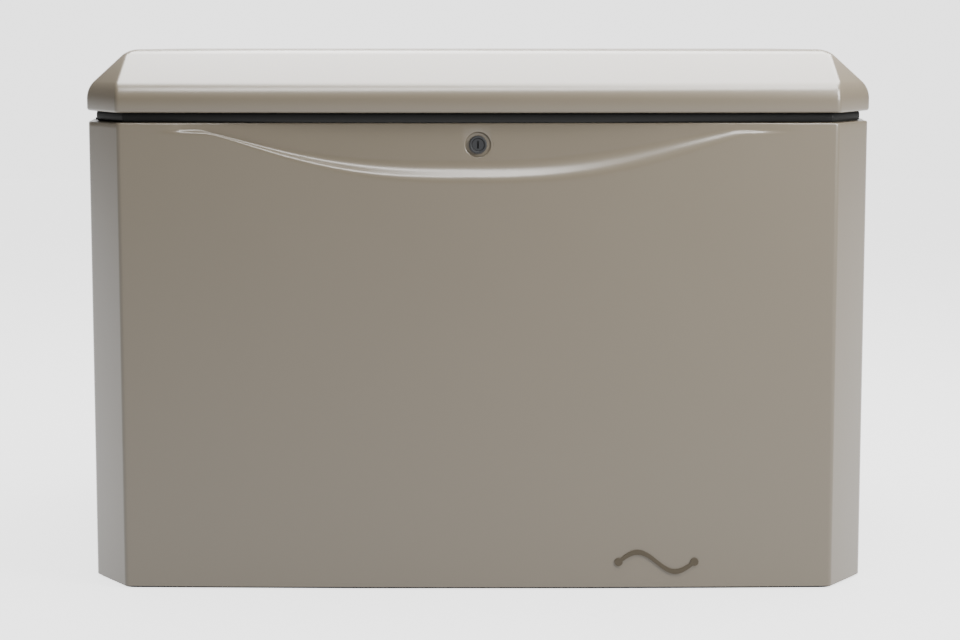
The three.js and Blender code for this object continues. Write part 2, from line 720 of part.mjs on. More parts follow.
function crankcase() {
  const halfY = CASE_WIDTH / 2;
  const shape = softRectangle([-halfY, footZ], [halfY, CASE_TOP], 16);
  const outer = raiseFront(shape, -caseX, caseX).rotate([0, 0, -90]);
  const inner = block(
    [-caseX + CASE_WALL, -halfY + CASE_WALL, footZ + CASE_WALL],
    [caseX + 1, halfY - CASE_WALL, CASE_TOP - CASE_WALL],
  );
  const cylinderHole = bar("z", [0, 0], BORE_RADIUS + 1, 0, CASE_TOP + 1);
  const journal = bar("x", [0, 0], JOURNAL_RADIUS + RUN, -caseX - 1, 0);
  return cut(outer, inner, cylinderHole, journal);
}

function crankcaseCover() {
  const halfY = CASE_WIDTH / 2;
  const shape = softRectangle([-halfY, footZ], [halfY, CASE_TOP], 16);
  const plate = raiseFront(shape, -coverEnd, -coverX).rotate([0, 0, 90]);
  return cut(plate, bar("x", [0, 0], JOURNAL_RADIUS + RUN, 0, coverEnd + 1));
}

function cylinder() {
  const half = FIN_WIDTH / 2;
  let barrel = bar("z", [0, 0], BORE_RADIUS + BARREL_WALL, barrelZ, barrelTop, 20);
  for (let i = 0; i <= FIN_COUNT; i += 1) {
    const z = barrelZ + i * FIN_PITCH;
    barrel = join(barrel, raise(softRectangle([-half, -half], [half, half], 12, 1), z, z + FIN_THICK));
  }
  return cut(barrel, bar("z", [0, 0], BORE_RADIUS, barrelZ - 1, barrelTop + 1, 20));
}

function cylinderHead() {
  const half = FIN_WIDTH / 2;
  const core = block([-52, -half, headZ], [52, half, headTop]);
  let head = core;
  for (let z = headZ; z + FIN_THICK <= headTop; z += FIN_PITCH) {
    head = join(head, raise(softRectangle([-half, -half], [half, half], 12, 1), z, z + FIN_THICK));
  }
  const plugHole = bar("x", [0, portZ], 12, 52, half + 1, 16);
  const inlet = bar("y", [0, portZ], MIXER_BORE, -half - 1, -20);
  const outlet = bar("y", [0, portZ], PIPE_RADIUS, 20, half + 1);
  return cut(head, plugHole, inlet, outlet);
}

function rockerCover() {
  const [x, y] = [52, FIN_WIDTH / 2 - 8];
  const low = headTop + SEAT;
  const dome = raise(softRectangle([-x, -y], [x, y], 14), low, low + ROCKER_HEIGHT);
  const rim = raise(softRectangle([-x - 6, -y - 6], [x + 6, y + 6], 16), low, low + 5);
  const neck = bar("z", [0, -y + 24], OIL_CAP_RADIUS - 3, low, low + ROCKER_HEIGHT + 6);
  return join(dome, rim, neck);
}

const oilCapZ = headTop + SEAT + ROCKER_HEIGHT + 6 + SEAT;
const oilCapY = -FIN_WIDTH / 2 + 32;

function oilCap() {
  const disc = bar("z", [0, 0], OIL_CAP_RADIUS, 0, 6);
  const grip = block([-OIL_CAP_RADIUS + 2, -3, 5], [OIL_CAP_RADIUS - 2, 3, 17]);
  return join(disc, grip);
}

const pinZ = STROKE / 2;
const wristZ = pinZ + ROD_LENGTH;

function piston() {
  const radius = BORE_RADIUS - SEAT;
  const [skirt, crown] = [wristZ - 26, wristZ + 28];
  const body = bar("z", [0, 0], radius, skirt, crown, 20);
  const hollow = bar("z", [0, 0], radius - 7, skirt - 1, crown - 8, 20);
  return join(cut(body, hollow), bar("x", [0, wristZ], 9, -radius + 3, radius - 3, 16));
}

function crankshaft() {
  const web = (from) => bar("x", [0, -6], WEB_RADIUS, from, from + WEB_THICK);
  const gap = 12;
  const pin = bar("x", [0, pinZ], CRANK_PIN_RADIUS, -gap - 1, gap + 1);
  const left = bar("x", [0, 0], JOURNAL_RADIUS, -caseX - 4, -gap);
  const right = bar("x", [0, 0], JOURNAL_RADIUS, gap, bladeX + 4);
  return join(pin, left, right, web(-gap - WEB_THICK), web(gap));
}

function flywheelFan() {
  let wheel = bar("x", [0, 0], FLYWHEEL_RADIUS, flywheelX, bladeX, 20);
  const bladeLength = FLYWHEEL_RADIUS - 54;
  for (let i = 0; i < FAN_BLADES; i += 1) {
    const blade = block([bladeX - 1, -1.5, 50], [bladeX + FAN_BLADE, 1.5, 50 + bladeLength]);
    wheel = join(wheel, blade.rotate([(360 / FAN_BLADES) * i, 0, 0]));
  }
  return cut(wheel, bar("x", [0, 0], JOURNAL_RADIUS + SEAT, flywheelX - 1, bladeX + 1));
}

function blowerHousing() {
  const [r, w] = [SHROUD_RADIUS, SHROUD_WALL];
  const start = coverEnd + SEAT;
  const half = FIN_WIDTH / 2 - 10;
  const duct = block([start, -half, 60], [shroudEnd, half, headTop]);
  const ductHollow = block([start - 1, -half + w, 0], [shroudEnd - w, half - w, headTop - w]);
  const drum = bar("x", [0, 0], r + w, start, shroudEnd, 20);
  const drumHollow = bar("x", [0, 0], r, start - 1, shroudEnd - w, 20);
  const inlet = bar("x", [0, 0], FLYWHEEL_RADIUS - 20, start, shroudEnd + 1, 20);
  return cut(join(drum, duct), drumHollow, ductHollow, inlet);
}

// The guard over the fan's inlet: rings joined by spokes, welded to the blower housing.
function fanGuard() {
  const from = shroudEnd - 1;
  const radii = [26, 50, FLYWHEEL_RADIUS - 22];
  let guard = bar("x", [0, 0], 10, from, from + 3);
  radii.forEach((r) => {
    guard = join(guard, ring(r, r + 3, from, from + 3, "x"));
  });
  [0, 60, 120].forEach((angle) => {
    const spoke = block([from, -2, -FLYWHEEL_RADIUS + 10], [from + 3, 2, FLYWHEEL_RADIUS - 10]);
    guard = join(guard, spoke.rotate([angle, 0, 0]));
  });
  return guard;
}

function sparkPlug() {
  return turned([
    [0, 0], [6, 0], [6, 14], [11, 14], [11, 24], [6.5, 24], [6.5, 40], [9, 42], [9, 66], [0, 66],
  ], "x", [0, 0, 0], 16);
}

function starterMotor() {
  const body = bar("x", [0, 0], STARTER_RADIUS, -STARTER_LENGTH / 2, STARTER_LENGTH / 2);
  const solenoid = bar("x", [0, STARTER_RADIUS + 12], 18, -STARTER_LENGTH / 2 + 20, 40, 16);
  const lug = block([-20, 0, -14], [20, STARTER_RADIUS + 2, 14]);
  return join(body, solenoid, lug);
}

const mixerFront = -FIN_WIDTH / 2 - SEAT - MIXER_SIZE;

function fuelMixer() {
  const half = MIXER_SIZE / 2;
  const body = block([-half, 0, -half], [half, MIXER_SIZE, half]);
  const boreHole = bar("y", [0, 0], MIXER_BORE, -1, MIXER_SIZE + 1);
  const shaftHole = bar("x", [MIXER_SIZE / 2, 0], THROTTLE_SHAFT + RUN, -half - 1, half + 1, 16);
  const fuelPort = bar("x", [14, 0], HOSE_RADIUS - 3, -half - 1, 0, 16);
  return cut(body, boreHole, shaftHole, fuelPort);
}

function throttleShaft() {
  const half = MIXER_SIZE / 2;
  const shaft = bar("x", [0, 0], THROTTLE_SHAFT, -half - 4, half + 14, 16);
  const plate = bar("y", [0, 0], MIXER_BORE - 1, -0.8, 0.8);
  const arm = block([half + 8, -5, -4], [half + 12, 5, 28]);
  return join(shaft, plate, arm);
}

function airBox() {
  const [w, h] = [AIR_BOX_WIDTH / 2, AIR_BOX_HEIGHT / 2];
  const shell = raiseFront(softRectangle([-w, -h], [w, h], 14), 0, AIR_BOX_DEPTH);
  const hollow = raiseFront(softRectangle([-w + 3, -h + 3], [w - 3, h - 3], 11), -1, AIR_BOX_DEPTH - 3);
  return cut(shell, hollow, bar("y", [0, 0], MIXER_BORE, 0, AIR_BOX_DEPTH + 1));
}

function airBoxCover() {
  const [w, h] = [AIR_BOX_WIDTH / 2, AIR_BOX_HEIGHT / 2];
  const lid = raiseFront(softRectangle([-w - 2, -h - 2], [w + 2, h + 2], 15), -12, -SEAT);
  const panel = raiseFront(softRectangle([-w + 14, -h + 14], [w - 14, h - 14], 10), -15, -11);
  return join(lid, panel);
}

function airFilter() {
  const [w, h] = [AIR_BOX_WIDTH / 2 - 11, AIR_BOX_HEIGHT / 2 - 11];
  const pleats = 12;
  const pitch = (2 * w) / pleats;
  const front = Array.from({ length: 2 * pleats + 1 }, (_, i) => [-w + (i * pitch) / 2, i % 2 ? 8 : 2]);
  const outline = [...front, [w, 44], [-w, 44]];
  return raise(outline, -h, h);
}

const oilFilter = () =>
  turned([[0, 0], [30, 0], [OIL_FILTER_RADIUS, 5], [OIL_FILTER_RADIUS, OIL_FILTER_LENGTH - 8],
    [30, OIL_FILTER_LENGTH], [0, OIL_FILTER_LENGTH]]);

const drainValve = () =>
  join(bar("y", [0, 0], DRAIN_RADIUS, 0, 44), bar("z", [22, 0], 6, 0, DRAIN_RADIUS + 2, 16));

const drainLever = () => join(bar("z", [0, 0], 7, 0, 5, 16), block([-5, 0, 0], [5, 42, 4]));

function statorHousing() {
  const [r, inner] = [STATOR_RADIUS, STATOR_RADIUS - STATOR_WALL];
  const barrel = bar("x", [0, 0], r, statorEnd, -caseX - SEAT, 20);
  const foot = block([statorEnd + 40, -r * 0.86, footZ], [statorEnd + STATOR_LENGTH - 30, r * 0.86, -r * 0.6]);
  const hollow = bar("x", [0, 0], inner, statorEnd - 1, -caseX - SEAT - 8, 20);
  const throat = bar("x", [0, 0], JOURNAL_RADIUS + 24, -caseX - 20, -caseX + 1);
  const vent = (angle) => block([-caseX - 26, -16, inner - 4], [-caseX - 12, 16, r + 2]).rotate([angle, 0, 0]);
  return cut(join(barrel, foot), hollow, throat, ...[-60, -20, 20, 60].map(vent));
}

const windings = () =>
  ring(ROTOR_RADIUS + AIR_GAP, STATOR_RADIUS - STATOR_WALL - 1.3, statorEnd + 14, statorEnd + STATOR_LENGTH - 14, "x");

function rotor() {
  const core = bar("x", [0, 0], ROTOR_RADIUS, statorEnd + 22, statorEnd + STATOR_LENGTH - 22);
  const slot = (angle) =>
    block([statorEnd + 12, -9, ROTOR_RADIUS - 20], [-caseX - 20, 9, ROTOR_RADIUS + 2]).rotate([angle, 0, 0]);
  const shaft = bar("x", [0, 0], ROTOR_SHAFT, statorEnd - BELL_LENGTH + 2, -caseX - 4 - SEAT);
  return join(cut(core, ...[45, 135, 225, 315].map(slot)), shaft);
}

function endBell() {
  const end = statorEnd - SEAT - BELL_LENGTH;
  const bell = bar("x", [0, 0], STATOR_RADIUS, end, statorEnd - SEAT, 20);
  const hollow = bar("x", [0, 0], STATOR_RADIUS - STATOR_WALL, end + 16, statorEnd + 1, 20);
  const bore = bar("x", [0, 0], ROTOR_SHAFT + RUN, end - 1, statorEnd);
  const vents = [0, 60, 120, 180, 240, 300].map((angle) =>
    bar("x", [0, 62], 14, end - 1, statorEnd, 16).rotate([angle, 0, 0]),
  );
  return cut(bell, hollow, bore, ...vents);
}

// ---- Exhaust ----
function muffler() {
  const [r, l] = [MUFFLER_RADIUS, MUFFLER_LENGTH / 2];
  const shell = turned([
    [0, -l], [r * 0.6, -l], [r - 5, -l + 6], [r, -l + 16], [r, l - 16], [r - 5, l - 6], [r * 0.6, l], [0, l],
  ], "z", [0, 0, 0], 20);
  return shell.rotate([90, 0, 0]);
}

function mufflerStand() {
  const top = MUFFLER_Z - MUFFLER_RADIUS * 0.5;
  const low = PAN_FLOOR + SEAT;
  const half = MUFFLER_RADIUS - 16;
  const saddle = block([-half, -12, MUFFLER_Z - MUFFLER_RADIUS - 14], [half, 12, top]);
  const leg = (x) => block([x - 4, -12, low], [x + 4, 12, MUFFLER_Z - MUFFLER_RADIUS - 13]);
  const foot = block([-half - 10, -16, low], [half + 10, 16, low + 4]);
  const cradled = bar("y", [0, MUFFLER_Z], MUFFLER_RADIUS + SEAT, -20, 20, 20);
  return cut(join(saddle, leg(-half + 4), leg(half - 4), foot), cradled);
}

const exhaustPipe = () => {
  const y = ENGINE_Y + FIN_WIDTH / 2 + SEAT;
  const z = CRANK_Z + portZ;
  const end = MUFFLER_X - MUFFLER_RADIUS - SEAT;
  const back = y + 58;
  return alongCurve([
    [ENGINE_X, y, z], [ENGINE_X, y + 24, z], [ENGINE_X + 26, back, z - 6], [ENGINE_X + 90, back + 4, z - 26],
    [end - 70, back - 30, MUFFLER_Z + 6], [end - 22, MUFFLER_Y + 40, MUFFLER_Z], [end, MUFFLER_Y + 40, MUFFLER_Z],
  ], PIPE_RADIUS, 20, 8, PIPE_RADIUS - PIPE_WALL);
};

const tailPipe = () =>
  cut(
    bar("y", [0, 0], TAIL_RADIUS, MUFFLER_LENGTH / 2 - 2, bodyHalfY - MUFFLER_Y),
    bar("y", [0, 0], TAIL_RADIUS - PIPE_WALL, MUFFLER_LENGTH / 2 + 4, bodyHalfY - MUFFLER_Y + 1),
  );

// ---- Fuel ----
function regulator() {
  return turned([
    [0, 0], [18, 0], [18, 6], [REGULATOR_RADIUS, 16], [REGULATOR_RADIUS, 24], [REGULATOR_RADIUS - 8, 30],
    [26, 44], [0, 44],
  ], "x", [0, 0, 0], 20);
}

const fuelInlet = () => {
  const wall = BULKHEAD_X - SEAT - 46;
  return alongCurve([
    [fuelX, bodyHalfY, fuelZ], [fuelX, bodyHalfY - 50, fuelZ], [fuelX + 3, fuelY + 50, fuelZ],
    [fuelX + 16, fuelY + 8, fuelZ], [wall - 14, fuelY, fuelZ], [wall + 1, fuelY, fuelZ],
  ], HOSE_RADIUS, 14, 8);
};

const fuelHose = () => {
  const left = ENGINE_X - MIXER_SIZE / 2 - SEAT;
  const y = ENGINE_Y + mixerFront + 14;
  const z = CRANK_Z + portZ;
  return alongCurve([
    [BULKHEAD_X + SEAT, fuelY, fuelZ], [BULKHEAD_X + 34, fuelY, fuelZ],
    [BULKHEAD_X + 84, fuelY - 30, fuelZ + 80], [left - 132, fuelY - 140, z + 22],
    [left - 60, y + 10, z + 16], [left - 20, y, z], [left, y, z],
  ], HOSE_RADIUS - 1, 28, 6);
};

// ---- Battery and controls ----
const batteryX = BULKHEAD_X - BATTERY_GAP - BATTERY_WIDTH / 2;
const batteryY = CONTROL_FRONT + BATTERY_LENGTH / 2;

function battery() {
  const [x, y] = [BATTERY_WIDTH / 2, BATTERY_LENGTH / 2];
  const box = raise(softRectangle([-x, -y], [x, y], 6), 0, BATTERY_HEIGHT - 14);
  const lid = raise(softRectangle([-x - 2, -y - 2], [x + 2, y + 2], 7), BATTERY_HEIGHT - 26, BATTERY_HEIGHT);
  const post = (side) =>
    turned([[0, 0], [9, 0], [8, 16], [0, 16]], "z", [side * (x - 26), 28 - y, BATTERY_HEIGHT - 1], 16);
  return join(box, lid, post(-1), post(1));
}

function batteryClamp() {
  const x = BATTERY_WIDTH / 2 + 2 + RUN;
  const top = BATTERY_HEIGHT + SEAT;
  const strap = block([-x - 4, -9, top], [x + 4, 9, top + 4]);
  const leg = (low) => block([low, -9, 0], [low + 4, 9, top + 1]);
  const foot = (low, high) => block([low, -9, 0], [high, 9, 3]);
  return join(strap, leg(-x - 4), leg(x), foot(-x - 16, -x - 1), foot(x + 1, x + 16));
}

const buttonPlaces = { off_button: 0.22, run_button: 0.5, auto_button: 0.78 };
const buttonZ = 112;
const lensZ = 166;
const breakerZ = 52;

function controlBox() {
  const outer = raiseFront(softRectangle([0, 0], [CONTROL_WIDTH, CONTROL_HEIGHT], 6), 0, CONTROL_DEPTH);
  const hollow = raiseFront(
    softRectangle([4, 4], [CONTROL_WIDTH - 4, CONTROL_HEIGHT - 4], 3), 4, CONTROL_DEPTH + 1,
  );
  const middle = CONTROL_WIDTH / 2;
  const lensPocket = block(
    [middle - LENS_WIDTH / 2 - SEAT, -1, lensZ - LENS_HEIGHT / 2 - SEAT],
    [middle + LENS_WIDTH / 2 + SEAT, 2, lensZ + LENS_HEIGHT / 2 + SEAT],
  );
  const throat = block(
    [middle - BREAKER_THROAT_WIDTH / 2, -1, breakerZ - BREAKER_THROAT_HEIGHT / 2],
    [middle + BREAKER_THROAT_WIDTH / 2, 5, breakerZ + BREAKER_THROAT_HEIGHT / 2],
  );
  const holes = Object.values(buttonPlaces).map((share) =>
    bar("y", [share * CONTROL_WIDTH, buttonZ], BUTTON_RADIUS + RUN, -1, 5),
  );
  return cut(outer, hollow, lensPocket, throat, ...holes);
}

const displayLens = () =>
  block([-LENS_WIDTH / 2, -1, -LENS_HEIGHT / 2], [LENS_WIDTH / 2, 2 - SEAT, LENS_HEIGHT / 2]);

const pushButton = () =>
  join(
    bar("y", [0, 0], BUTTON_RADIUS, -BUTTON_PROUD, 9),
    bar("y", [0, 0], BUTTON_RADIUS + 3, 4 + RUN, 9),
  );

function breakerLever() {
  const drum = bar("x", [0, 0], 11, -BREAKER_THROAT_WIDTH / 2 + 1, BREAKER_THROAT_WIDTH / 2 - 1);
  const handle = block([-6, -26, -4], [6, 0, 4]).rotate([-25, 0, 0]);
  return join(drum, handle);
}

function circuitBreaker() {
  const half = BREAKER_THROAT_WIDTH / 2 + 6;
  const body = block([-half, 0, -34], [half, 60, 34]);
  const well = bar("x", [BREAKER_PIVOT, 0], 13, -BREAKER_THROAT_WIDTH / 2, BREAKER_THROAT_WIDTH / 2);
  const mouth = block([-BREAKER_THROAT_WIDTH / 2, -1, -17], [BREAKER_THROAT_WIDTH / 2, BREAKER_PIVOT, 17]);
  return cut(body, well, mouth);
}

// ---- Assembly ----
const generator = new THREE.Group();
const part = (name, shape, material, position) => piece(generator, name, shape, material, position);

part("base_pan", basePan(), DARK_STEEL);
part("front_panel", frontPanel(), SHELL);
part("rear_panel", rearPanel(), SHELL);
part("left_end_panel", endPanel(-1), SHELL);
part("right_end_panel", endPanel(1), SHELL);
part("bulkhead", bulkhead(), STEEL, [BULKHEAD_X, 0, 0]);
const mark = part("badge", badge(), MARK, [BADGE_X, frontFaceY(BADGE_X), BADGE_Z]);
mark.rotation.z = Math.atan((frontFaceY(BADGE_X + 40) - frontFaceY(BADGE_X - 40)) / 80);

part("roof_shell", roofShell(), SHELL);
part("roof_frame", join(roofFrame(), propPivot().translate([propX, propY, propZ])), DARK_STEEL);
part("roof_liner", roofLiner(), FOAM);
part("roof_gasket", roofGasket(), SEAL);
part("hinge_body_leaf", join(hingeLeaf(0, -1), hingePin()), STEEL, [0, hingeY, hingeZ]);
part("hinge_roof_leaf", hingeLeaf(1, 1), STEEL, [0, hingeY, hingeZ]);
part("prop_rod", propRod(), STEEL, [propX, propY, propZ]);
part("lock_barrel", lockBarrel(), DARK_STEEL, [0, 0, lockZ]);
part("lock_plug", join(lockPlug(), lockCam()), STEEL, [0, 0, lockZ]);
part("roof_keeper", roofKeeper(), STEEL, [0, 0, lockZ]);

const mountX = CRADLE_LENGTH / 2 - 34;
const mountY = CRADLE_WIDTH / 2 - 34;
const mountPlaces = { front_left: [-1, -1], front_right: [1, -1], rear_left: [-1, 1], rear_right: [1, 1] };
for (const [place, [sx, sy]] of Object.entries(mountPlaces)) {
  const spot = [cradleMiddle + sx * mountX, ENGINE_Y + sy * mountY, PAN_FLOOR + SEAT];
  part("vibration_mount_" + place, vibrationMount(), RUBBER, spot);
}
part("cradle", cradle(), DARK_STEEL, [cradleMiddle, ENGINE_Y, cradleTop - CRADLE_THICK]);

const powertrain = new THREE.Group();
powertrain.position.set(ENGINE_X, ENGINE_Y, CRANK_Z);
generator.add(powertrain);
const engine = (name, shape, material, position) => piece(powertrain, name, shape, material, position);
const drainValveSpot = [-30, CASE_WIDTH / 2 - 1, footZ + 26];
engine("crankcase", join(crankcase(), drainValve().translate(drainValveSpot)), CASTING);
engine("crankcase_cover", crankcaseCover(), CASTING);
engine("cylinder", cylinder(), CASTING);
engine("cylinder_head", cylinderHead(), CASTING);
engine("rocker_cover", rockerCover(), DARK_STEEL);
engine("piston", piston(), CASTING);
engine("crankshaft", crankshaft(), STEEL);
engine("flywheel_fan", flywheelFan(), CASTING);
engine("blower_housing", join(blowerHousing(), fanGuard()), DARK_STEEL);
engine("spark_plug", sparkPlug(), STEEL, [52 + SEAT, 0, portZ]);
engine("starter_motor", starterMotor(), DARK_STEEL, [0, -CASE_WIDTH / 2 - STARTER_RADIUS - 2 - SEAT, -62]);
engine("fuel_mixer", fuelMixer(), CASTING, [0, mixerFront, portZ]);
engine("throttle_shaft", throttleShaft(), BRASS, [0, mixerFront + MIXER_SIZE / 2, portZ]);
const airBoxY = mixerFront - SEAT - AIR_BOX_DEPTH;
engine("air_cleaner_box", airBox(), PLASTIC, [0, airBoxY, portZ]);
engine("air_cleaner_cover", airBoxCover(), PLASTIC, [0, airBoxY, portZ]);
engine("air_filter", airFilter(), finish(0xd8cfb4, 0.9, 0), [0, airBoxY + AIR_BOX_DEPTH - 3 - SEAT - 44, portZ]);
engine("oil_cap", oilCap(), PLASTIC, [0, oilCapY, oilCapZ]);
engine("oil_filter", oilFilter().rotate([90, 0, 0]), RED, [-18, -CASE_WIDTH / 2 - SEAT, 44]);
const drainLeverSpot = [-30, CASE_WIDTH / 2 + 21, footZ + 26 + DRAIN_RADIUS + 2 + SEAT];
engine("oil_drain_lever", drainLever(), RED, drainLeverSpot);
engine("stator_housing", statorHousing(), CASTING);
engine("stator_windings", windings(), COPPER);
engine("rotor", rotor(), STEEL);
engine("end_bell", endBell(), CASTING);

part("muffler", join(muffler(), tailPipe()), IRON, [MUFFLER_X, MUFFLER_Y, MUFFLER_Z]);
part("muffler_stand", mufflerStand(), DARK_STEEL, [MUFFLER_X, MUFFLER_Y, 0]);
part("exhaust_pipe", exhaustPipe(), IRON);
part("fuel_regulator", regulator().rotate([0, 0, 180]), CASTING, [BULKHEAD_X - SEAT, fuelY, fuelZ]);
part("fuel_inlet", fuelInlet(), BRASS);
part("fuel_hose", fuelHose(), RUBBER);

const batteryFloor = PAN_FLOOR + SEAT;
part("battery", battery(), PLASTIC, [batteryX, batteryY, batteryFloor]);
part("battery_clamp", batteryClamp(), STEEL, [batteryX, batteryY, batteryFloor]);

const controlX = BULKHEAD_X - SEAT - CONTROL_WIDTH;
const breaker = circuitBreaker().translate([CONTROL_WIDTH / 2, 4 - SEAT, breakerZ]);
part("control_box", join(controlBox(), breaker), PLASTIC, [controlX, CONTROL_FRONT, CONTROL_Z]);
const controlMiddle = controlX + CONTROL_WIDTH / 2;
part("display_lens", displayLens(), GLASS, [controlMiddle, CONTROL_FRONT, CONTROL_Z + lensZ]);
const buttonColours = { off_button: RED, run_button: PLASTIC, auto_button: GREEN };
for (const [name, share] of Object.entries(buttonPlaces)) {
  const spot = [controlX + share * CONTROL_WIDTH, CONTROL_FRONT, CONTROL_Z + buttonZ];
  part(name, pushButton(), buttonColours[name], spot);
}
const leverSpot = [controlMiddle, CONTROL_FRONT + 4 + BREAKER_PIVOT, CONTROL_Z + breakerZ];
part("breaker_lever", breakerLever(), RED, leverSpot);

export default generator;
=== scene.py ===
"""Looks for a home standby generator in its weatherproof enclosure.

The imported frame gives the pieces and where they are. This script makes the drawn outer skin
smooth, gives every inner piece softened edges, and dresses each of them in its own finish.
Lengths that describe the enclosure are in millimetres and are turned to metres where a mesh is
made. The front faces -Y, +X is to the right, and z = 0 is the pad that the set stands on.
"""

from __future__ import annotations

import json
import logging
import math
from dataclasses import dataclass
from enum import Enum
from typing import Callable, Dict, Iterable, List, Optional, Sequence, Tuple

import bmesh
import bpy
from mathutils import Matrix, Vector


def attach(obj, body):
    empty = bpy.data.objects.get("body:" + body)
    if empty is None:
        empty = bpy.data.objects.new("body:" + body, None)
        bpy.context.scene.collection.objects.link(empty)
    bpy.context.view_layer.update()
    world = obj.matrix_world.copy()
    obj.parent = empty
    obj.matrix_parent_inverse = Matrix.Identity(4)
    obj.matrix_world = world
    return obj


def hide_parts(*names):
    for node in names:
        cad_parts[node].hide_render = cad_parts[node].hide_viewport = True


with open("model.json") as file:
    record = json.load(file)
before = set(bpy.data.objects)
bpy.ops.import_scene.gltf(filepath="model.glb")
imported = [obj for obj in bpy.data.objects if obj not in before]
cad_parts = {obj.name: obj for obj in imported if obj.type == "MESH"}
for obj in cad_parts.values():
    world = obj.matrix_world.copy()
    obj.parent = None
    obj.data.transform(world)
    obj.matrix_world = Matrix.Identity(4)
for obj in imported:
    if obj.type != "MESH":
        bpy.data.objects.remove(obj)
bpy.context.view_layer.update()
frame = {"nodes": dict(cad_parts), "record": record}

log = logging.getLogger("generator")

Point = Tuple[float, float]
Colour = Tuple[float, float, float, float]

MM = 0.001
STUDIO_SHARE = 0.36


# ---------------------------------------------------------------------------------------------
# Small tools
# ---------------------------------------------------------------------------------------------
def linear(hex_colour: str) -> Colour:
    """Turns an sRGB hex colour into linear light.

    Args:
        hex_colour: Six hex digits, with or without a leading hash.

    Returns:
        Red, green, blue and an alpha of one.
    """
    digits = hex_colour.lstrip("#")
    channels = [int(digits[i : i + 2], 16) / 255 for i in (0, 2, 4)]
    lit = [c / 12.92 if c <= 0.04045 else ((c + 0.055) / 1.055) ** 2.4 for c in channels]
    return (lit[0], lit[1], lit[2], 1.0)


def in_studio(hex_colour: str) -> Colour:
    """Gives a finish's colour as the bright studio needs it, so that it isn't washed out.

    Args:
        hex_colour: The colour in plain daylight, sRGB hex.

    Returns:
        The darkened colour in linear light.
    """
    red, green, blue, alpha = linear(hex_colour)
    return (red * STUDIO_SHARE, green * STUDIO_SHARE, blue * STUDIO_SHARE, alpha)


def smooth_share(value: float) -> float:
    """Eases a value from 0 to 1 with level ends."""
    t = min(1.0, max(0.0, value))
    return t * t * (3 - 2 * t)


def mix(a: float, b: float, share: float) -> float:
    """Gives the value that lies a share of the way from a to b."""
    return a + (b - a) * share


def deselect() -> None:
    """Leaves object mode with nothing selected."""
    if bpy.context.object and bpy.context.object.mode != "OBJECT":
        bpy.ops.object.mode_set(mode="OBJECT")
    bpy.ops.object.select_all(action="DESELECT")


def activate(piece: bpy.types.Object) -> None:
    """Selects one piece alone and makes it the active one."""
    deselect()
    piece.select_set(True)
    bpy.context.view_layer.objects.active = piece


def apply_modifier(piece: bpy.types.Object, kind: str, **settings: object) -> None:
    """Adds a modifier with its settings and applies it.

    Args:
        piece: The piece that it works on.
        kind: The modifier's type.
        settings: Its values by name.
    """
    activate(piece)
    modifier = piece.modifiers.new(kind.title(), kind)
    for key, value in settings.items():
        setattr(modifier, key, value)
    bpy.ops.object.modifier_apply(modifier=modifier.name)


def smooth(piece: bpy.types.Object, angle: float = 30) -> None:
    """Shades a piece smooth wherever its faces meet at less than the angle in degrees."""
    activate(piece)
    bpy.ops.object.shade_smooth_by_angle(angle=math.radians(angle))


def settle(piece: bpy.types.Object) -> None:
    """Puts a piece's place, turn and size into its mesh."""
    activate(piece)
    bpy.ops.object.transform_apply(location=True, rotation=True, scale=True)


def shaped_grid(
    name: str, columns: int, rows: int, place: Callable[[int, int], Sequence[float]]
) -> bpy.types.Object:
    """Adds a grid and moves each of its corners to its place.

    Args:
        name: The piece's name.
        columns: How many faces lie along the grid.
        rows: How many faces lie up the grid.
        place: Gives the place in millimetres of the corner at a column and a row.

    Returns:
        The grid as a finished skin, with its doubled corners merged.
    """
    deselect()
    bpy.ops.mesh.primitive_grid_add(x_subdivisions=columns, y_subdivisions=rows, size=1)
    piece = bpy.context.object
    piece.name = name
    piece.data.name = name
    bpy.ops.object.mode_set(mode="EDIT")
    mesh = bmesh.from_edit_mesh(piece.data)
    for vertex in mesh.verts:
        column = round((vertex.co.x + 0.5) * columns)
        row = round((vertex.co.y + 0.5) * rows)
        vertex.co = Vector(place(column, row)) * MM
    bmesh.update_edit_mesh(piece.data)
    bpy.ops.mesh.select_all(action="SELECT")
    bpy.ops.mesh.remove_doubles(threshold=0.00001)
    bpy.ops.object.mode_set(mode="OBJECT")
    return piece


def point_outwards(piece: bpy.types.Object) -> None:
    """Turns every face of a closed piece to the outside."""
    activate(piece)
    bpy.ops.object.mode_set(mode="EDIT")
    bpy.ops.mesh.select_all(action="SELECT")
    bpy.ops.mesh.normals_make_consistent(inside=False)
    bpy.ops.object.mode_set(mode="OBJECT")


def turned(
    name: str, profile: Sequence[Point], height: float, sides: int = 64
) -> bpy.types.Object:
    """Turns a profile about an axis that runs from front to rear.

    Args:
        name: The piece's name.
        profile: Points of radius and depth.
        height: How high the axis lies.
        sides: How many stretches go round.

    Returns:
        The turned piece, closed and facing outwards.
    """

    def place(i: int, j: int) -> Tuple[float, float, float]:
        """Gives the place of one corner."""
        turn = 2 * math.pi * (i % sides) / sides
        radius, depth = profile[j]
        return (radius * math.cos(turn), depth, height + radius * math.sin(turn))

    piece = shaped_grid(name, sides, len(profile) - 1, place)
    point_outwards(piece)
    return piece


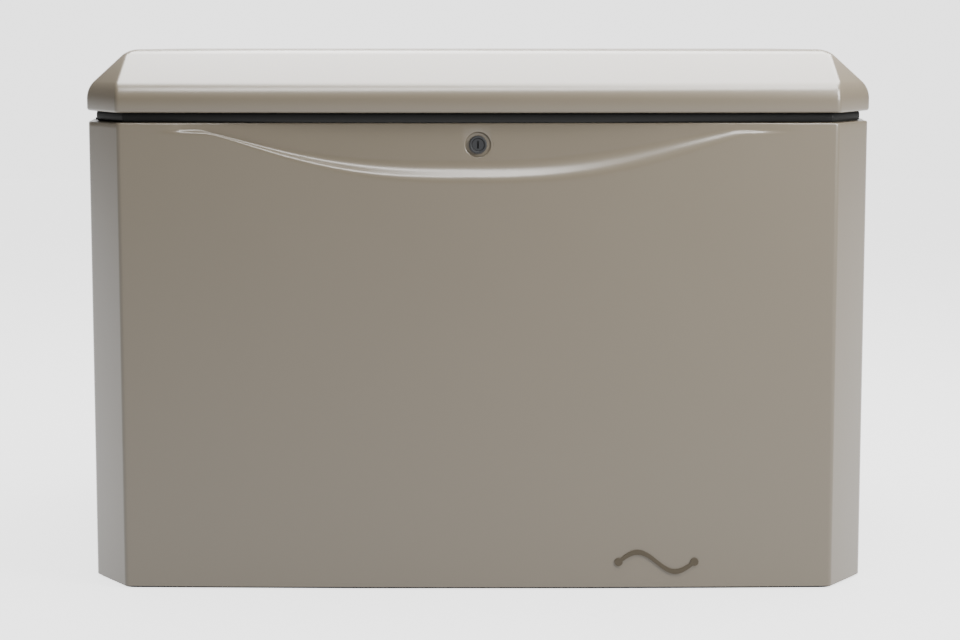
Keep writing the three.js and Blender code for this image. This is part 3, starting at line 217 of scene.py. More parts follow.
def rounded_path(corners: Sequence[Point], radii: Sequence[float], steps: int) -> List[Point]:
    """Walks along straight lines and rounds the corners between them.

    Args:
        corners: The points of the path, its two ends included.
        radii: The reach of the round at each inner corner.
        steps: How many stretches each round has.

    Returns:
        The path's points: its start, the rounds and its end.
    """
    path: List[Point] = [corners[0]]
    for i in range(1, len(corners) - 1):
        here = Vector(corners[i])
        back = Vector(corners[i - 1]) - here
        forward = Vector(corners[i + 1]) - here
        reach = min(radii[i - 1], 0.45 * back.length, 0.45 * forward.length)
        start = here + back.normalized() * reach
        end = here + forward.normalized() * reach
        for n in range(steps + 1):
            t = n / steps
            at = start * (1 - t) ** 2 + here * 2 * t * (1 - t) + end * t * t
            path.append((at.x, at.y))
    path.append(corners[-1])
    return path


def add_node(
    tree: bpy.types.NodeTree, kind: str, sockets: Optional[dict] = None, **settings: object
) -> bpy.types.Node:
    """Adds a shader node with its settings, values and links.

    Args:
        tree: The material's node tree.
        kind: The node's type.
        sockets: Input name or number, to a value or to the output that feeds it.
        settings: The node's own properties by name.

    Returns:
        The new node.
    """
    node = tree.nodes.new(kind)
    for key, value in settings.items():
        setattr(node, key, value)
    for key, value in (sockets or {}).items():
        if isinstance(value, bpy.types.NodeSocket):
            tree.links.new(value, node.inputs[key])
        else:
            node.inputs[key].default_value = value
    return node


# ---------------------------------------------------------------------------------------------
# Finishes
# ---------------------------------------------------------------------------------------------
class Relief(Enum):
    """How a surface was made, which decides its fine relief."""

    SPRAYED = "sprayed"
    MOULDED = "moulded"
    BRUSHED = "brushed"
    CAST = "cast"
    CELLULAR = "cellular"
    PLEATED = "pleated"
    WOUND = "wound"
    CLEAR = "clear"


@dataclass(frozen=True)
class Finish:
    """One finish: what it is made of, and how its surface was made.

    Attributes:
        name: The material's name.
        light: Its lighter colour, sRGB hex.
        dark: The colour that it drifts to in soft patches.
        roughness: The middle of its roughness.
        relief: How the surface was made.
        metallic: One for bare metal.
        ior: The index of refraction of the top layer; a metal keeps the default.
        grain_mm: The size of the fine relief.
        depth_mm: How deep the fine relief is.
        patch_mm: The size of the soft colour patches.
        coat: The share of a clear coat.
    """

    name: str
    light: str
    dark: str
    roughness: float
    relief: Relief
    metallic: float = 0.0
    ior: float = 1.5
    grain_mm: float = 1.5
    depth_mm: float = 0.05
    patch_mm: float = 90.0
    coat: float = 0.0

    def height(self, tree: bpy.types.NodeTree, place: bpy.types.NodeSocket) -> bpy.types.NodeSocket:
        """Adds the nodes that draw the fine relief.

        Args:
            tree: The material's node tree.
            place: The object coordinates.

        Returns:
            The relief's height, from 0 to 1.
        """
        per_metre = 1 / (self.grain_mm * MM)
        if self.relief is Relief.BRUSHED:
            along = add_node(
                tree, "ShaderNodeMapping", {"Vector": place, "Scale": (0.06, 1.0, 1.0)}
            )
            sockets = {"Vector": along.outputs["Vector"], "Scale": per_metre, "Detail": 3.0}
            return add_node(tree, "ShaderNodeTexNoise", sockets).outputs["Fac"]
        if self.relief in (Relief.CELLULAR, Relief.CAST):
            sockets = {"Vector": place, "Scale": per_metre, "Randomness": 1.0}
            return add_node(tree, "ShaderNodeTexVoronoi", sockets).outputs["Distance"]
        if self.relief in (Relief.PLEATED, Relief.WOUND):
            # A wave's bands are 20 to a unit at a scale of one.
            sockets = {"Vector": place, "Scale": per_metre / 20, "Distortion": 0.3}
            direction = "X" if self.relief is Relief.PLEATED else "DIAGONAL"
            wave = add_node(tree, "ShaderNodeTexWave", sockets, bands_direction=direction)
            return wave.outputs["Fac"]
        sockets = {"Vector": place, "Scale": per_metre, "Detail": 2.0, "Roughness": 0.5}
        return add_node(tree, "ShaderNodeTexNoise", sockets).outputs["Fac"]

    def build(self) -> bpy.types.Material:
        """Builds the material's nodes.

        Returns:
            The finished material.
        """
        material = bpy.data.materials.new(self.name)
        material.use_nodes = True
        tree = material.node_tree
        tree.nodes.clear()
        place = add_node(tree, "ShaderNodeTexCoord").outputs["Object"]
        patch_scale = 1 / (self.patch_mm * MM)
        patches = add_node(
            tree,
            "ShaderNodeTexNoise",
            {"Vector": place, "Scale": patch_scale, "Detail": 3.0, "Roughness": 0.55},
        )
        ramp = add_node(tree, "ShaderNodeValToRGB", {"Fac": patches.outputs["Fac"]})
        ramp.color_ramp.elements[0].position = 0.1
        ramp.color_ramp.elements[1].position = 0.9
        ramp.color_ramp.elements[0].color = in_studio(self.dark)
        ramp.color_ramp.elements[1].color = in_studio(self.light)
        height = self.height(tree, place)
        sheen_break = add_node(
            tree,
            "ShaderNodeMapRange",
            {
                "Value": patches.outputs["Fac"],
                "From Min": 0.1,
                "From Max": 0.9,
                "To Min": self.roughness * 0.93,
                "To Max": min(1.0, self.roughness * 1.07),
            },
        )
        bump = add_node(
            tree,
            "ShaderNodeBump",
            {"Height": height, "Distance": self.depth_mm * MM, "Strength": 1.0},
        )
        sockets = {
            "Base Color": ramp.outputs["Color"],
            "Roughness": sheen_break.outputs["Result"],
            "Metallic": self.metallic,
            "Normal": bump.outputs["Normal"],
        }
        if self.metallic < 0.5:
            sockets["IOR"] = self.ior
        if self.coat > 0:
            sockets["Coat Weight"] = self.coat
            sockets["Coat Roughness"] = 0.12
        shader = add_node(tree, "ShaderNodeBsdfPrincipled", sockets)
        add_node(tree, "ShaderNodeOutputMaterial", {"Surface": shader.outputs["BSDF"]})
        return material


# Polyester powder coat on sheet: an even satin film that flows into faint orange peel, warm taupe.
SHELL = Finish("powder_coated_shell", "72695a", "706758", 0.29, Relief.SPRAYED,
               grain_mm=2.4, depth_mm=0.006, patch_mm=160, ior=1.45)
# The printed mark: matt ink, a darker taupe than the coat under it.
MARK = Finish("printed_mark", "5a5347", "554e42", 0.7, Relief.MOULDED, grain_mm=0.8, ior=1.12)
# Extruded EPDM rubber: near black, slightly shiny along its crown.
SEAL = Finish("epdm_seal", "2b2b2a", "232322", 0.5, Relief.MOULDED, grain_mm=1.2, depth_mm=0.03,
              ior=1.18)
# Open-cell acoustic foam: charcoal, with its cells showing as small pits.
FOAM = Finish("acoustic_foam", "46474a", "2c2d2f", 0.95, Relief.CELLULAR, grain_mm=5, depth_mm=1.2)
# Zinc-plated steel: cool grey with a fine rolled grain.
STEEL = Finish("zinc_plated_steel", "b4b7ba", "94979a", 0.34, Relief.BRUSHED, metallic=1.0,
               grain_mm=1.0, depth_mm=0.015, patch_mm=35)
# Black enamel on pressed steel: low gloss, with a slight texture.
PAINTED_STEEL = Finish("black_enamelled_steel", "2e2f31", "242527", 0.44, Relief.SPRAYED,
                       grain_mm=1.6, depth_mm=0.03, ior=1.3)
# Die-cast aluminium: pale grey, dull, with a sandy skin.
CASTING = Finish("die_cast_aluminium", "b3b4b2", "989a99", 0.5, Relief.CAST, metallic=0.85,
                 grain_mm=1.3, depth_mm=0.08, patch_mm=40)
# Aluminised exhaust steel that has been hot: grey brown and blotchy.
IRON = Finish("heat_stained_steel", "827a70", "5b5149", 0.55, Relief.CAST, metallic=0.8,
              grain_mm=1.8, depth_mm=0.06, patch_mm=45)
# Moulded nitrile rubber: black and dull.
RUBBER = Finish("nitrile_rubber", "222222", "191919", 0.72, Relief.MOULDED, grain_mm=1.0)
# Moulded polypropylene with a fine spark-eroded grain.
PLASTIC = Finish("moulded_polypropylene", "2c2d30", "242528", 0.52, Relief.MOULDED,
                 grain_mm=0.8, depth_mm=0.04, ior=1.49)
# Enamelled copper wire, wound: red brown, with the strands drawn coarser than they are.
COPPER = Finish("enamelled_copper_wire", "b5683a", "8a4a27", 0.34, Relief.WOUND, metallic=0.9,
                grain_mm=1.8, depth_mm=0.35, patch_mm=20)
# Turned brass: warm yellow, fairly bright.
BRASS = Finish("turned_brass", "c9a55c", "b08c46", 0.28, Relief.BRUSHED, metallic=1.0,
               grain_mm=0.7, depth_mm=0.01, patch_mm=15)
# The display window: dark polycarbonate, glossy.
GLASS = Finish("smoked_polycarbonate", "1c2724", "17201e", 0.08, Relief.CLEAR, ior=1.58,
               grain_mm=30, depth_mm=0.002, coat=0.4)
# Resin-treated filter paper: cream, folded in pleats.
PAPER = Finish("pleated_filter_paper", "d8cda6", "c7b98c", 0.85, Relief.PLEATED, grain_mm=4.0,
               depth_mm=1.5, patch_mm=25)
# Red and green moulded nylon for what the user touches.
RED = Finish("red_nylon", "a62d22", "992619", 0.42, Relief.MOULDED, grain_mm=0.8, ior=1.53)
GREEN = Finish("green_nylon", "3f8048", "38763f", 0.42, Relief.MOULDED, grain_mm=0.8, ior=1.53)

SLOT_FINISH: Dict[str, Finish] = {
    "shell": SHELL,
    "mark": MARK,
    "seal": SEAL,
    "foam": FOAM,
    "steel": STEEL,
    "painted_steel": PAINTED_STEEL,
    "casting": CASTING,
    "iron": IRON,
    "rubber": RUBBER,
    "plastic": PLASTIC,
    "copper": COPPER,
    "brass": BRASS,
    "glass": GLASS,
    "paper": PAPER,
    "red": RED,
    "green": GREEN,
}


class Wardrobe:
    """Holds the built materials and what the record says of each node."""

    def __init__(self, record: dict) -> None:
        """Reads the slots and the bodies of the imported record.

        Args:
            record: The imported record.
        """
        self.built: Dict[str, bpy.types.Material] = {}
        self.slot_of = {part["node"]: part["material_slot"] for part in record["subparts"]}
        bodies = record["behaviour"]["bodies"]
        self.body_of = {node: body for body, nodes in bodies.items() for node in nodes}

    def material(self, slot: str) -> bpy.types.Material:
        """Gives the built material of a slot."""
        if slot not in self.built:
            self.built[slot] = SLOT_FINISH[slot].build()
        return self.built[slot]

    def dress(self, piece: bpy.types.Object, slot: str) -> None:
        """Puts a slot's material on the whole of a piece."""
        piece.data.materials.clear()
        piece.data.materials.append(self.material(slot))

    def hand_over(self, piece: bpy.types.Object, node: str, slot: str = "") -> None:
        """Lets a piece stand for a node: it takes the node's place in the motion and the finish of its
        slot, and the node is hidden.

        Args:
            piece: The finished piece.
            node: The node that it replaces.
            slot: The slot that it takes its finish from, if it isn't the node's own.
        """
        slot = slot or self.slot_of[node]
        self.dress(piece, slot)
        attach(piece, self.body_of[node])
        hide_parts(node)
        log.info("%s stands for %s", piece.name, node)


# ---------------------------------------------------------------------------------------------
# The plan that the roof and the body share
# ---------------------------------------------------------------------------------------------
@dataclass(frozen=True)
class Plan:
    """A rectangle with two cut corners at each side and a front that is crowned outward.

    Attributes:
        half_x: Half the width.
        half_y: Half the depth.
        cut_x: How far a corner cut runs along X.
        cut_y: How far a corner cut runs along Y.
        crown: How far the front stands out in the middle.
        radius: The round of each corner.
        crown_steps: How many stretches the front has.
        corner_steps: How many stretches each round corner has.
    """

    half_x: float
    half_y: float
    cut_x: float = 45.0
    cut_y: float = 67.0
    crown: float = 7.0
    radius: float = 20.0
    crown_steps: int = 96
    corner_steps: int = 8

    def corners(self) -> List[Point]:
        """Gives the outline before its corners are rounded, counter-clockwise from the front left."""
        front_x = self.half_x - self.cut_x
        outline: List[Point] = []
        for i in range(self.crown_steps + 1):
            x = front_x * (2 * i / self.crown_steps - 1)
            outline.append((x, -self.half_y + self.crown * (x / front_x) ** 2))
        side_front = -self.half_y + self.crown + self.cut_y
        side_rear = self.half_y - self.cut_y
        outline += [(self.half_x, side_front), (self.half_x, side_rear)]
        outline += [(front_x, self.half_y), (-front_x, self.half_y)]
        outline += [(-self.half_x, side_rear), (-self.half_x, side_front)]
        return outline

    @staticmethod
    def inset(outline: Sequence[Point], distance: float) -> List[Point]:
        """Moves each side of an outline inward.

        Args:
            outline: The outline, counter-clockwise.
            distance: How far each side moves.

        Returns:
            The moved outline, with the same number of points.
        """
        count = len(outline)
        lines = []
        for i in range(count):
            a = Vector(outline[i])
            along = Vector(outline[(i + 1) % count]) - a
            inward = Vector((-along.y, along.x)).normalized()
            lines.append((a + inward * distance, along))
        moved: List[Point] = []
        for i in range(count):
            start, along = lines[i - 1]
            other, across = lines[i]
            turn = along.x * across.y - along.y * across.x
            gap = other - start
            t = (gap.x * across.y - gap.y * across.x) / turn
            at = start + along * t
            moved.append((at.x, at.y))
        return moved

    def soften(self, outline: Sequence[Point], radius: float) -> List[Point]:
        """Rounds the sharp corners of an outline and leaves the nearly straight ones.

        Args:
            outline: The outline, counter-clockwise.
            radius: The round of each corner.

        Returns:
            The rounded outline.
        """
        count = len(outline)
        soft: List[Point] = []
        for i in range(count):
            here = Vector(outline[i])
            back = Vector(outline[i - 1]) - here
            forward = Vector(outline[(i + 1) % count]) - here
            turn = math.pi - back.angle(forward)
            if turn < 0.15:
                soft.append((here.x, here.y))
                continue
            longest = [0.45 * self.straight(outline, i, step) for step in (-1, 1)]
            reach = min(radius * math.tan(turn / 2), *longest)
            start = self.walk(outline, i, -1, reach)
            end = self.walk(outline, i, 1, reach)
            for n in range(self.corner_steps + 1):
                t = n / self.corner_steps
                at = start * (1 - t) ** 2 + here * 2 * t * (1 - t) + end * t * t
                soft.append((at.x, at.y))
        return soft

    @staticmethod
    def straight(outline: Sequence[Point], i: int, step: int) -> float:
        """Gives the length of the side that leaves a corner one way or the other."""
        here = Vector(outline[i])
        return (Vector(outline[(i + step) % len(outline)]) - here).length

    @staticmethod
    def walk(outline: Sequence[Point], i: int, step: int, reach: float) -> Vector:
        """Gives the point that lies a distance along the side that leaves a corner."""
        here = Vector(outline[i])
        along = Vector(outline[(i + step) % len(outline)]) - here
        return here + along.normalized() * reach

    def ring(self, distance: float = 0.0) -> List[Point]:
        """Gives the rounded outline, moved inward by a distance."""
        outline = self.corners() if distance == 0 else self.inset(self.corners(), distance)
        return self.soften(outline, max(self.radius - distance, 4.0))


@dataclass(frozen=True)
class Enclosure:
    """The driving sizes of the enclosure, in millimetres."""

    roof_width: float = 948.0
    roof_depth: float = 652.0
    overhang: float = 1.5
    roof_bottom: float = 576.0
    body_top: float = 564.0
    body_bottom: float = 3.0
    front_return: float = 30.0
    rear_return: float = 20.0
    cut_y: float = 67.0
    crown: float = 7.0

    @property
    def body_half_x(self) -> float:
        """Half the body's width."""
        return self.roof_width / 2 - self.overhang

    @property
    def body_half_y(self) -> float:
        """Half the body's depth."""
        return self.roof_depth / 2 - self.overhang

    @property
    def front_split(self) -> float:
        """Where the front panel ends on each side."""
        return -self.body_half_y + self.crown + self.cut_y + self.front_return

    def body_plan(self) -> Plan:
        """The body's outline."""
        return Plan(self.body_half_x, self.body_half_y)


SIZES = Enclosure()


# ---------------------------------------------------------------------------------------------
# Sub-assemblies
# ---------------------------------------------------------------------------------------------
@dataclass
class RoofCover:
    """The moulded roof: a lip, a rolled shoulder all round and a top that falls to the rear.

    Attributes:
        wardrobe: The finishes.
        lip: The upright lip's height.
        rise: How far the top stands over the lip.
        slope: The shoulder's slope in degrees.
        low_radius: The round between the lip and the shoulder.
        high_radius: The round between the shoulder and the top.
        stretch: How much deeper than wide the shoulder is at the front.
        rear_fall: How far the top falls from front to rear.
        edge_radius: The round of the lower edge.
        wall: The sheet's thickness.
    """

    wardrobe: Wardrobe
    lip: float = 14.0
    rise: float = 61.0
    slope: float = 42.0
    low_radius: float = 30.0
    high_radius: float = 26.0
    stretch: float = 1.2
    rear_fall: float = 12.0
    edge_radius: float = 3.0
    wall: float = 2.8
    steps: int = 10

    def section(self) -> List[Point]:
        """Gives the section as inset and height, from the lower edge to the top."""
        slope = math.radians(self.slope)
        lip_top = SIZES.roof_bottom + self.lip
        top = lip_top + self.rise
        lower = math.pi / 2 - slope
        shoulder = (
            self.low_radius * (1 - math.cos(lower)),
            lip_top + self.low_radius * math.sin(lower),
        )
        roll_z = top - self.high_radius * (1 - math.cos(slope))
        roll_x = shoulder[0] + (roll_z - shoulder[1]) / math.tan(slope)
        path: List[Point] = []
        for i in range(5):
            turn = math.pi / 2 * i / 4
            edge = self.edge_radius
            path.append((edge * (1 - math.sin(turn)), SIZES.roof_bottom + edge * (1 - math.cos(turn))))
        for i in range(self.steps + 1):
            turn = lower * i / self.steps
            radius = self.low_radius
            path.append((radius * (1 - math.cos(turn)), lip_top + radius * math.sin(turn)))
        for i in range(self.steps + 1):
            turn = slope * (1 - i / self.steps)
            radius = self.high_radius
            path.append(
                (
                    roll_x + radius * (math.sin(slope) - math.sin(turn)),
                    roll_z + radius * (math.cos(turn) - math.cos(slope)),
                )
            )
        return path

    def level(self, distance: float, height: float) -> List[Tuple[float, float, float]]:
        """Gives one level of the roof, whose corner cut dies out as the sides slope in.

        Args:
            distance: How far the level lies inside the lip.
            height: Its height at the front.

        Returns:
            The level's points.
        """
        plan = Plan(
            SIZES.roof_width / 2 - distance,
            SIZES.roof_depth / 2 - distance * self.stretch,
            max(45 - distance, 5),
            max(67 - distance * (self.stretch + 0.2), 6),
        )
        lift = max(0.0, height - SIZES.roof_bottom - self.lip) / self.rise
        drop = lift * self.rear_fall
        return [(x, y, height - drop * (0.5 + y / SIZES.roof_depth)) for x, y in plan.ring()]

    def build(self) -> bpy.types.Object:
        """Builds the roof and lets it stand for its node.

        Returns:
            The roof.
        """
        section = self.section()
        levels = [self.level(distance, height) for distance, height in section]
        # Two more levels on the flat top keep the roll's shading off it.
        last, top = section[-1]
        levels += [self.level(last + step, top) for step in (8.0, 40.0)]
        count = len(levels[0])
        skin = shaped_grid(
            "roof_cover", count, len(levels) - 1, lambda i, j: levels[j][i % count]
        )
        activate(skin)
        bpy.ops.object.mode_set(mode="EDIT")
        bpy.ops.mesh.select_all(action="DESELECT")
        mesh = bmesh.from_edit_mesh(skin.data)
        inner = {round(x, 2): True for x, _, _ in levels[-1]}
        highest = min(z for _, _, z in levels[-1]) - 1
        for edge in mesh.edges:
            on_top = all(v.co.z / MM > highest for v in edge.verts)
            known = all(round(v.co.x / MM, 2) in inner for v in edge.verts)
            edge.select = edge.is_boundary and on_top and known
        bmesh.update_edit_mesh(skin.data)
        bpy.ops.mesh.edge_face_add()
        bpy.ops.object.mode_set(mode="OBJECT")
        apply_modifier(skin, "SOLIDIFY", thickness=self.wall * MM, offset=-1, use_even_offset=True)
        smooth(skin, 40)
        self.wardrobe.hand_over(skin, "roof_shell")
        return skin


@dataclass
class FrontCover:
    """The front panel: a crowned face, wrapped corners and a scooped hollow under the roof.

    Attributes:
        wardrobe: The finishes.
        scoop_half: Half the scoop's width.
        scoop_drop: How far its edge hangs under the body's top in the middle.
        scoop_depth: How deep the hollow is.
        ledge: How high the slope behind the edge is in the middle.
        rim: The round of the upper rim.
        flange: How wide the level flange inside the rim is.
        wall: The panel's thickness.
        lock_drop: How far the lock lies under the body's top.
        lock_hole: The radius of the lock's hole.
        dish: The radius of the dish round the lock.
        dish_depth: How deep the dish is.
    """

    wardrobe: Wardrobe
    scoop_half: float = 400.0
    scoop_drop: float = 66.0
    scoop_depth: float = 11.0
    ledge: float = 14.0
    rim: float = 2.5
    flange: float = 21.0
    wall: float = 2.3
    lock_drop: float = 26.0
    lock_hole: float = 9.9
    dish: float = 15.0
    dish_depth: float = 2.0

    def drop(self, x: float) -> float:
        """Gives how far the scoop's edge lies under the body's top."""
        share = min(1.0, abs(x / self.scoop_half))
        return self.scoop_drop * 0.5 * (1 + math.cos(math.pi * share**1.4))

    def upright(self, x: float, front: bool) -> List[Point]:
        """Gives one upright line of the panel, from its foot to the inside of its flange.

        Args:
            x: Where the line stands.
            front: Whether the line stands on the crowned face, where the scoop is.

        Returns:
            Points of inset and height.
        """
        drop = self.drop(x) if front else 0.0
        share = drop / self.scoop_drop
        depth = self.scoop_depth * math.sqrt(share) * smooth_share(share * 9)
        top = SIZES.body_top
        low = top - max(drop, 12.0)
        ledge_top = min(low + self.ledge * max(share, 0.25), top - self.rim - 2)
        corners = [
            (0.0, SIZES.body_bottom),
            (0.0, low),
            (depth, ledge_top),
            (depth, top),
            (self.flange, top),
        ]
        path = rounded_path(corners, (5.0, 9.0, self.rim), 6)
        # Lines close to the edge and to the foot keep the face's shading flat.
        edge = path[1][1]
        foot = [(0.0, SIZES.body_bottom + 2), (0.0, edge - 30), (0.0, edge - 2.5)]
        return [path[0]] + foot + path[1:]

    def build(self) -> bpy.types.Object:
        """Builds the panel and lets it stand for its node.

        Returns:
            The panel.
        """
        plan = SIZES.body_plan()
        outer = plan.ring(0.0)
        inner = plan.ring(self.flange)
        per_corner = plan.corner_steps + 1
        left = list(range(len(outer) - per_corner, len(outer)))
        # The front runs over two round corners, its crown and the two corners on the sides.
        across = left + list(range(3 * per_corner + plan.crown_steps - 1))
        split = SIZES.front_split
        line = [(outer[i], inner[i]) for i in across]
        first = ((outer[left[0]][0], split), (inner[left[0]][0], split))
        last = ((-first[0][0], split), (-first[1][0], split))
        line = [first] + line + [last]
        limit = SIZES.body_half_x - plan.cut_x - 6
        paths = [self.upright(face[0], abs(face[0]) < limit) for face, _ in line]

        def place(i: int, j: int) -> Tuple[float, float, float]:
            (face_x, face_y), (back_x, back_y) = line[i]
            inset, height = paths[i][j]
            share = inset / self.flange
            return (mix(face_x, back_x, share), mix(face_y, back_y, share), height)

        panel = shaped_grid("front_cover_panel", len(line) - 1, len(paths[0]) - 1, place)
        self.seat_lock(panel)
        apply_modifier(panel, "SOLIDIFY", thickness=self.wall * MM, offset=-1)
        smooth(panel, 35)
        self.wardrobe.hand_over(panel, "front_panel")
        return panel

    def seat_lock(self, skin: bpy.types.Object) -> None:
        """Opens the hollow's wall for the lock and draws the round dish about it.

        Args:
            skin: The panel's outer skin, before it has a wall.
        """
        face = -SIZES.body_half_y + self.scoop_depth
        height = SIZES.body_top - self.lock_drop
        floor = face + self.dish_depth
        profile = [
            (self.dish + 1.4, face),
            (self.dish + 0.8, face + 0.1),
            (self.dish + 0.2, face + 0.5),
            (self.dish - 0.5, floor - 0.4),
            (self.dish - 1.0, floor - 0.1),
            (self.dish - 1.6, floor),
            (self.lock_hole, floor),
        ]
        activate(skin)
        bpy.ops.object.mode_set(mode="EDIT")
        mesh = bmesh.from_edit_mesh(skin.data)

        def near_lock(at: Vector, reach: float) -> bool:
            """Tells whether a point lies within reach of the lock's axis, across and up."""
            return abs(at.x) < reach * MM and abs(at.z - height * MM) < reach * MM

        window = [f for f in mesh.faces if near_lock(f.calc_center_median(), 20)]
        window = [f for f in window if f.calc_area() > 200 * MM * MM]
        bmesh.ops.delete(mesh, geom=window, context="FACES")
        bounds = [e for e in mesh.edges if e.is_boundary and near_lock(e.verts[0].co, 28)]
        sides = 64
        rings = []
        for radius, depth in profile:
            turns = [2 * math.pi * i / sides for i in range(sides)]
            spots = [(radius * math.cos(t), depth, height + radius * math.sin(t)) for t in turns]
            rings.append([mesh.verts.new(Vector(spot) * MM) for spot in spots])
        for outer, inner in zip(rings, rings[1:]):
            for i in range(sides):
                n = (i + 1) % sides
                mesh.faces.new((outer[i], outer[n], inner[n], inner[i]))
        rim = [mesh.edges.get((rings[0][i], rings[0][(i + 1) % sides])) for i in range(sides)]
        bmesh.ops.triangle_fill(mesh, use_beauty=True, edges=bounds + rim)
        bmesh.ops.recalc_face_normals(mesh, faces=mesh.faces[:])
        mesh.faces.ensure_lookup_table()
        low_face = min(mesh.faces, key=lambda f: abs(f.calc_center_median().x) + f.calc_center_median().z)
        if low_face.normal.y > 0:
            bmesh.ops.reverse_faces(mesh, faces=mesh.faces[:])
        bmesh.update_edit_mesh(skin.data)
        bpy.ops.object.mode_set(mode="OBJECT")


@dataclass
class Gasket:
    """The dark rubber band between the body and the roof.

    Attributes:
        wardrobe: The finishes.
        inset: How far its face lies inside the body's outline.
        width: Its width.
        gap: What it keeps to the sheet above and below.
        bulge: How far its face swells.
    """

    wardrobe: Wardrobe
    inset: float = 9.5
    width: float = 10.0
    gap: float = 0.3
    bulge: float = 1.6

    def build(self) -> bpy.types.Object:
        """Builds the band and lets it stand for its node.

        Returns:
            The band.
        """
        plan = SIZES.body_plan()
        low = SIZES.body_top + self.gap
        high = SIZES.roof_bottom - self.gap
        steps = 8
        section: List[Point] = []
        for i in range(steps + 1):
            t = i / steps
            swell = self.bulge * math.sqrt(max(0.0, 1 - (2 * t - 1) ** 2))
            section.append((self.inset + self.bulge - swell, mix(low, high, t)))
        section += [(self.inset + self.width, high), (self.inset + self.width, low), section[0]]
        rings = {inset: plan.ring(inset) for inset, _ in section}
        count = len(plan.ring())

        def place(i: int, j: int) -> Tuple[float, float, float]:
            inset, height = section[j]
            x, y = rings[inset][i % count]
            return (x, y, height)

        band = shaped_grid("roof_seal", count, len(section) - 1, place)
        point_outwards(band)
        smooth(band, 50)
        self.wardrobe.hand_over(band, "roof_gasket")
        return band


@dataclass
class Lock:
    """The cam lock in the scoop: a black barrel with a bevelled face and a keyed plug.

    Attributes:
        wardrobe: The finishes.
        radius: The radius of the barrel's face.
        neck: The radius of the barrel behind it.
        plug_radius: The plug's radius.
        proud: How far the barrel stands out of the hollow's wall.
        flange_depth: How far the face reaches into the dish.
        drop: How far the lock lies under the body's top.
    """

    wardrobe: Wardrobe
    radius: float = 10.8
    neck: float = 9.5
    plug_radius: float = 7.2
    proud: float = 2.4
    flange_depth: float = 1.8
    drop: float = 26.0

    def build(self) -> None:
        """Builds the barrel and the plug and lets them stand for their nodes."""
        face = -SIZES.body_half_y + 11.0
        back = face + 18.0
        front = face - self.proud
        bore = self.plug_radius + 0.2
        profile = [
            (bore, front + 1.2),
            (bore + 0.5, front + 0.3),
            (bore + 1.0, front),
            (self.radius - 1.2, front),
            (self.radius - 0.4, front + 0.3),
            (self.radius, front + 1.2),
            (self.radius, face + self.flange_depth),
            (self.neck, face + self.flange_depth),
            (self.neck, back),
            (bore, back),
            (bore, front + 1.2),
        ]
        barrel = turned("lock_body", profile, SIZES.body_top - self.drop)
        smooth(barrel, 40)
        self.wardrobe.hand_over(barrel, "lock_barrel")
        plug = soft_copy("lock_plug", "lock_key_plug", 0.3)
        self.wardrobe.hand_over(plug, "lock_plug", "painted_steel")


def soft_copy(node: str, name: str, edge_mm: float, segments: int = 2) -> bpy.types.Object:
    """Copies a node, merges it and softens its hard edges.

    Args:
        node: The node's name.
        name: The new piece's name.
        edge_mm: The width of the softened edges.
        segments: How many faces go round an edge.

    Returns:
        The softened copy.
    """
    source = frame["nodes"][node]
    piece = source.copy()
    piece.data = source.data.copy()
    piece.name = name
    piece.data.name = name
    piece.parent = None
    bpy.context.scene.collection.objects.link(piece)
    piece.hide_render = False
    activate(piece)
    bpy.ops.object.mode_set(mode="EDIT")
    bpy.ops.mesh.select_all(action="SELECT")
    bpy.ops.mesh.remove_doubles(threshold=0.000005)
    bpy.ops.mesh.dissolve_limited(angle_limit=math.radians(1.0))
    bpy.ops.object.mode_set(mode="OBJECT")
    if "sharp_edge" in piece.data.attributes:
        piece.data.attributes.remove(piece.data.attributes["sharp_edge"])
    apply_modifier(
        piece,
        "BEVEL",
        width=edge_mm * MM,
        segments=segments,
        limit_method="ANGLE",
        angle_limit=math.radians(35),
        use_clamp_overlap=True,
        harden_normals=False,
    )
    smooth(piece, 32)
    # Large flat faces keep their own direction beside the narrow softened edges.
    apply_modifier(piece, "WEIGHTED_NORMAL", keep_sharp=True, weight=100)
    return piece


@dataclass
class InnerWorks:
    """Everything else: each node gets a softened copy in its own finish.

    Attributes:
        wardrobe: The finishes.
        edges: The width of the softened edges by slot, in millimetres.
    """

    wardrobe: Wardrobe
    edge: float = 0.7

    def width(self, slot: str) -> float:
        """Gives how wide the softened edges of a slot's pieces are."""
        special = {"casting": 1.1, "plastic": 1.2, "rubber": 1.2, "shell": 0.8, "steel": 0.4}
        special.update({"brass": 0.3, "red": 0.6, "green": 0.5, "foam": 2.5, "mark": 0.3})
        return special.get(slot, self.edge)

    def build(self, done: Iterable[str]) -> None:
        """Builds the softened copies.

        Args:
            done: The nodes that other classes have replaced.
        """
        finished = set(done)
        for node, slot in self.wardrobe.slot_of.items():
            if node in finished:
                continue
            piece = soft_copy(node, node + "_finished", self.width(slot))
            self.wardrobe.hand_over(piece, node)


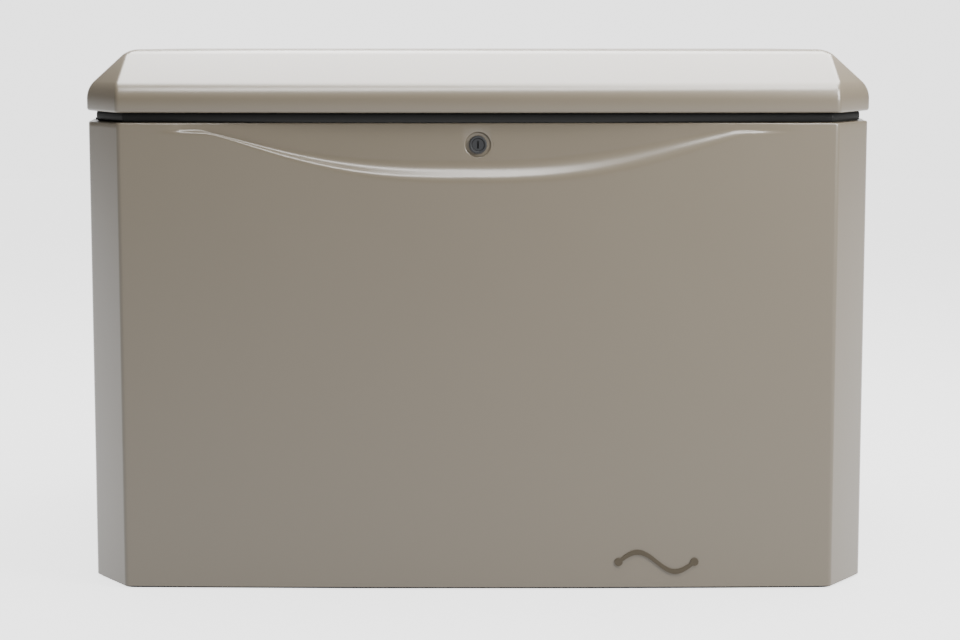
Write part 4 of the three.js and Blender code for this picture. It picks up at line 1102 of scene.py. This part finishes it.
# ---------------------------------------------------------------------------------------------
# Studio
# ---------------------------------------------------------------------------------------------
@dataclass
class Studio:
    """The pale floor, the soft lights and the camera."""

    lens: float = 92.37
    pitch: float = 82.55
    place: Tuple[float, float, float] = (0.0024, -3.242, 0.711)
    floor_glow: float = 2.5
    floor_albedo: float = 0.1
    backdrop_glow: float = 2.6

    def camera(self) -> None:
        """Places the camera."""
        data = bpy.data.cameras.new("camera")
        data.lens = self.lens
        data.sensor_width = 36
        camera = bpy.data.objects.new("camera", data)
        camera.location = self.place
        camera.rotation_euler = (math.radians(self.pitch), 0, 0)
        bpy.context.scene.collection.objects.link(camera)
        bpy.context.scene.camera = camera

    def paper(self, name: str, glow: float, albedo: float) -> bpy.types.Material:
        """Builds the matt, softly glowing paper of the studio.

        Args:
            name: The material's name.
            glow: How much light it gives of its own, as from lamps behind it.
            albedo: The share of the light on it that it gives back.

        Returns:
            The finished material.
        """
        material = bpy.data.materials.new(name)
        material.use_nodes = True
        tree = material.node_tree
        tree.nodes.clear()
        shader = add_node(
            tree,
            "ShaderNodeBsdfPrincipled",
            {
                "Base Color": (albedo, albedo, albedo, 1.0),
                "Roughness": 1.0,
                "Specular IOR Level": 0.0,
                "Emission Color": (1.0, 1.0, 1.0, 1.0),
                "Emission Strength": glow,
            },
        )
        add_node(tree, "ShaderNodeOutputMaterial", {"Surface": shader.outputs["BSDF"]})
        return material

    def floor(self) -> None:
        """Lays the floor and hangs the backdrop that it fades into."""
        deselect()
        bpy.ops.mesh.primitive_plane_add(size=14, location=(0, 0, 0))
        floor = bpy.context.object
        floor.name = "studio_floor"
        settle(floor)
        floor.data.materials.append(self.paper("floor_paper", self.floor_glow, self.floor_albedo))
        deselect()
        bpy.ops.mesh.primitive_plane_add(
            size=7, location=(0, 6.5, 0), rotation=(math.pi / 2, 0, 0)
        )
        backdrop = bpy.context.object
        backdrop.name = "studio_backdrop"
        settle(backdrop)
        backdrop.data.materials.append(self.paper("backdrop_paper", self.backdrop_glow, 0.0))

    def softbox(
        self,
        name: str,
        place: Sequence[float],
        aim: Sequence[float],
        size: Tuple[float, float],
        power: float,
    ) -> None:
        """Hangs one soft light.

        Args:
            name: The light's name.
            place: Where it hangs, in metres.
            aim: The point that it faces.
            size: Its width and height.
            power: Its power in watts.
        """
        data = bpy.data.lights.new(name, "AREA")
        data.shape = "RECTANGLE"
        data.size, data.size_y = size
        data.energy = power
        light = bpy.data.objects.new(name, data)
        light.location = place
        facing = Vector(aim) - Vector(place)
        light.rotation_euler = facing.to_track_quat("-Z", "Y").to_euler()
        bpy.context.scene.collection.objects.link(light)

    def build(self) -> None:
        """Sets up the whole studio."""
        self.camera()
        self.floor()
        self.softbox("overhead", (0.25, 0.55, 2.6), (0.1, 0.2, 0.4), (2.8, 2.4), 620)
        self.softbox("front_top", (0.2, -1.15, 2.4), (0, -0.2, 0.5), (2.2, 0.5), 120)
        self.softbox("right_window", (1.35, -1.25, 1.25), (0.3, -0.2, 0.35), (0.7, 1.2), 120)
        world = bpy.data.worlds.new("surroundings")
        world.use_nodes = True
        background = world.node_tree.nodes["Background"]
        background.inputs["Color"].default_value = linear("f4f4f4")
        background.inputs["Strength"].default_value = 0.3
        bpy.context.scene.world = world


def main() -> None:
    """Builds the studio and every sub-assembly in order."""
    logging.basicConfig(level=logging.INFO, format="%(message)s")
    wardrobe = Wardrobe(frame["record"])
    Studio().build()
    RoofCover(wardrobe).build()
    FrontCover(wardrobe).build()
    Gasket(wardrobe).build()
    Lock(wardrobe).build()
    done = ["roof_shell", "front_panel", "roof_gasket", "lock_barrel", "lock_plug"]
    InnerWorks(wardrobe).build(done)


if __name__ == "__main__":
    main()
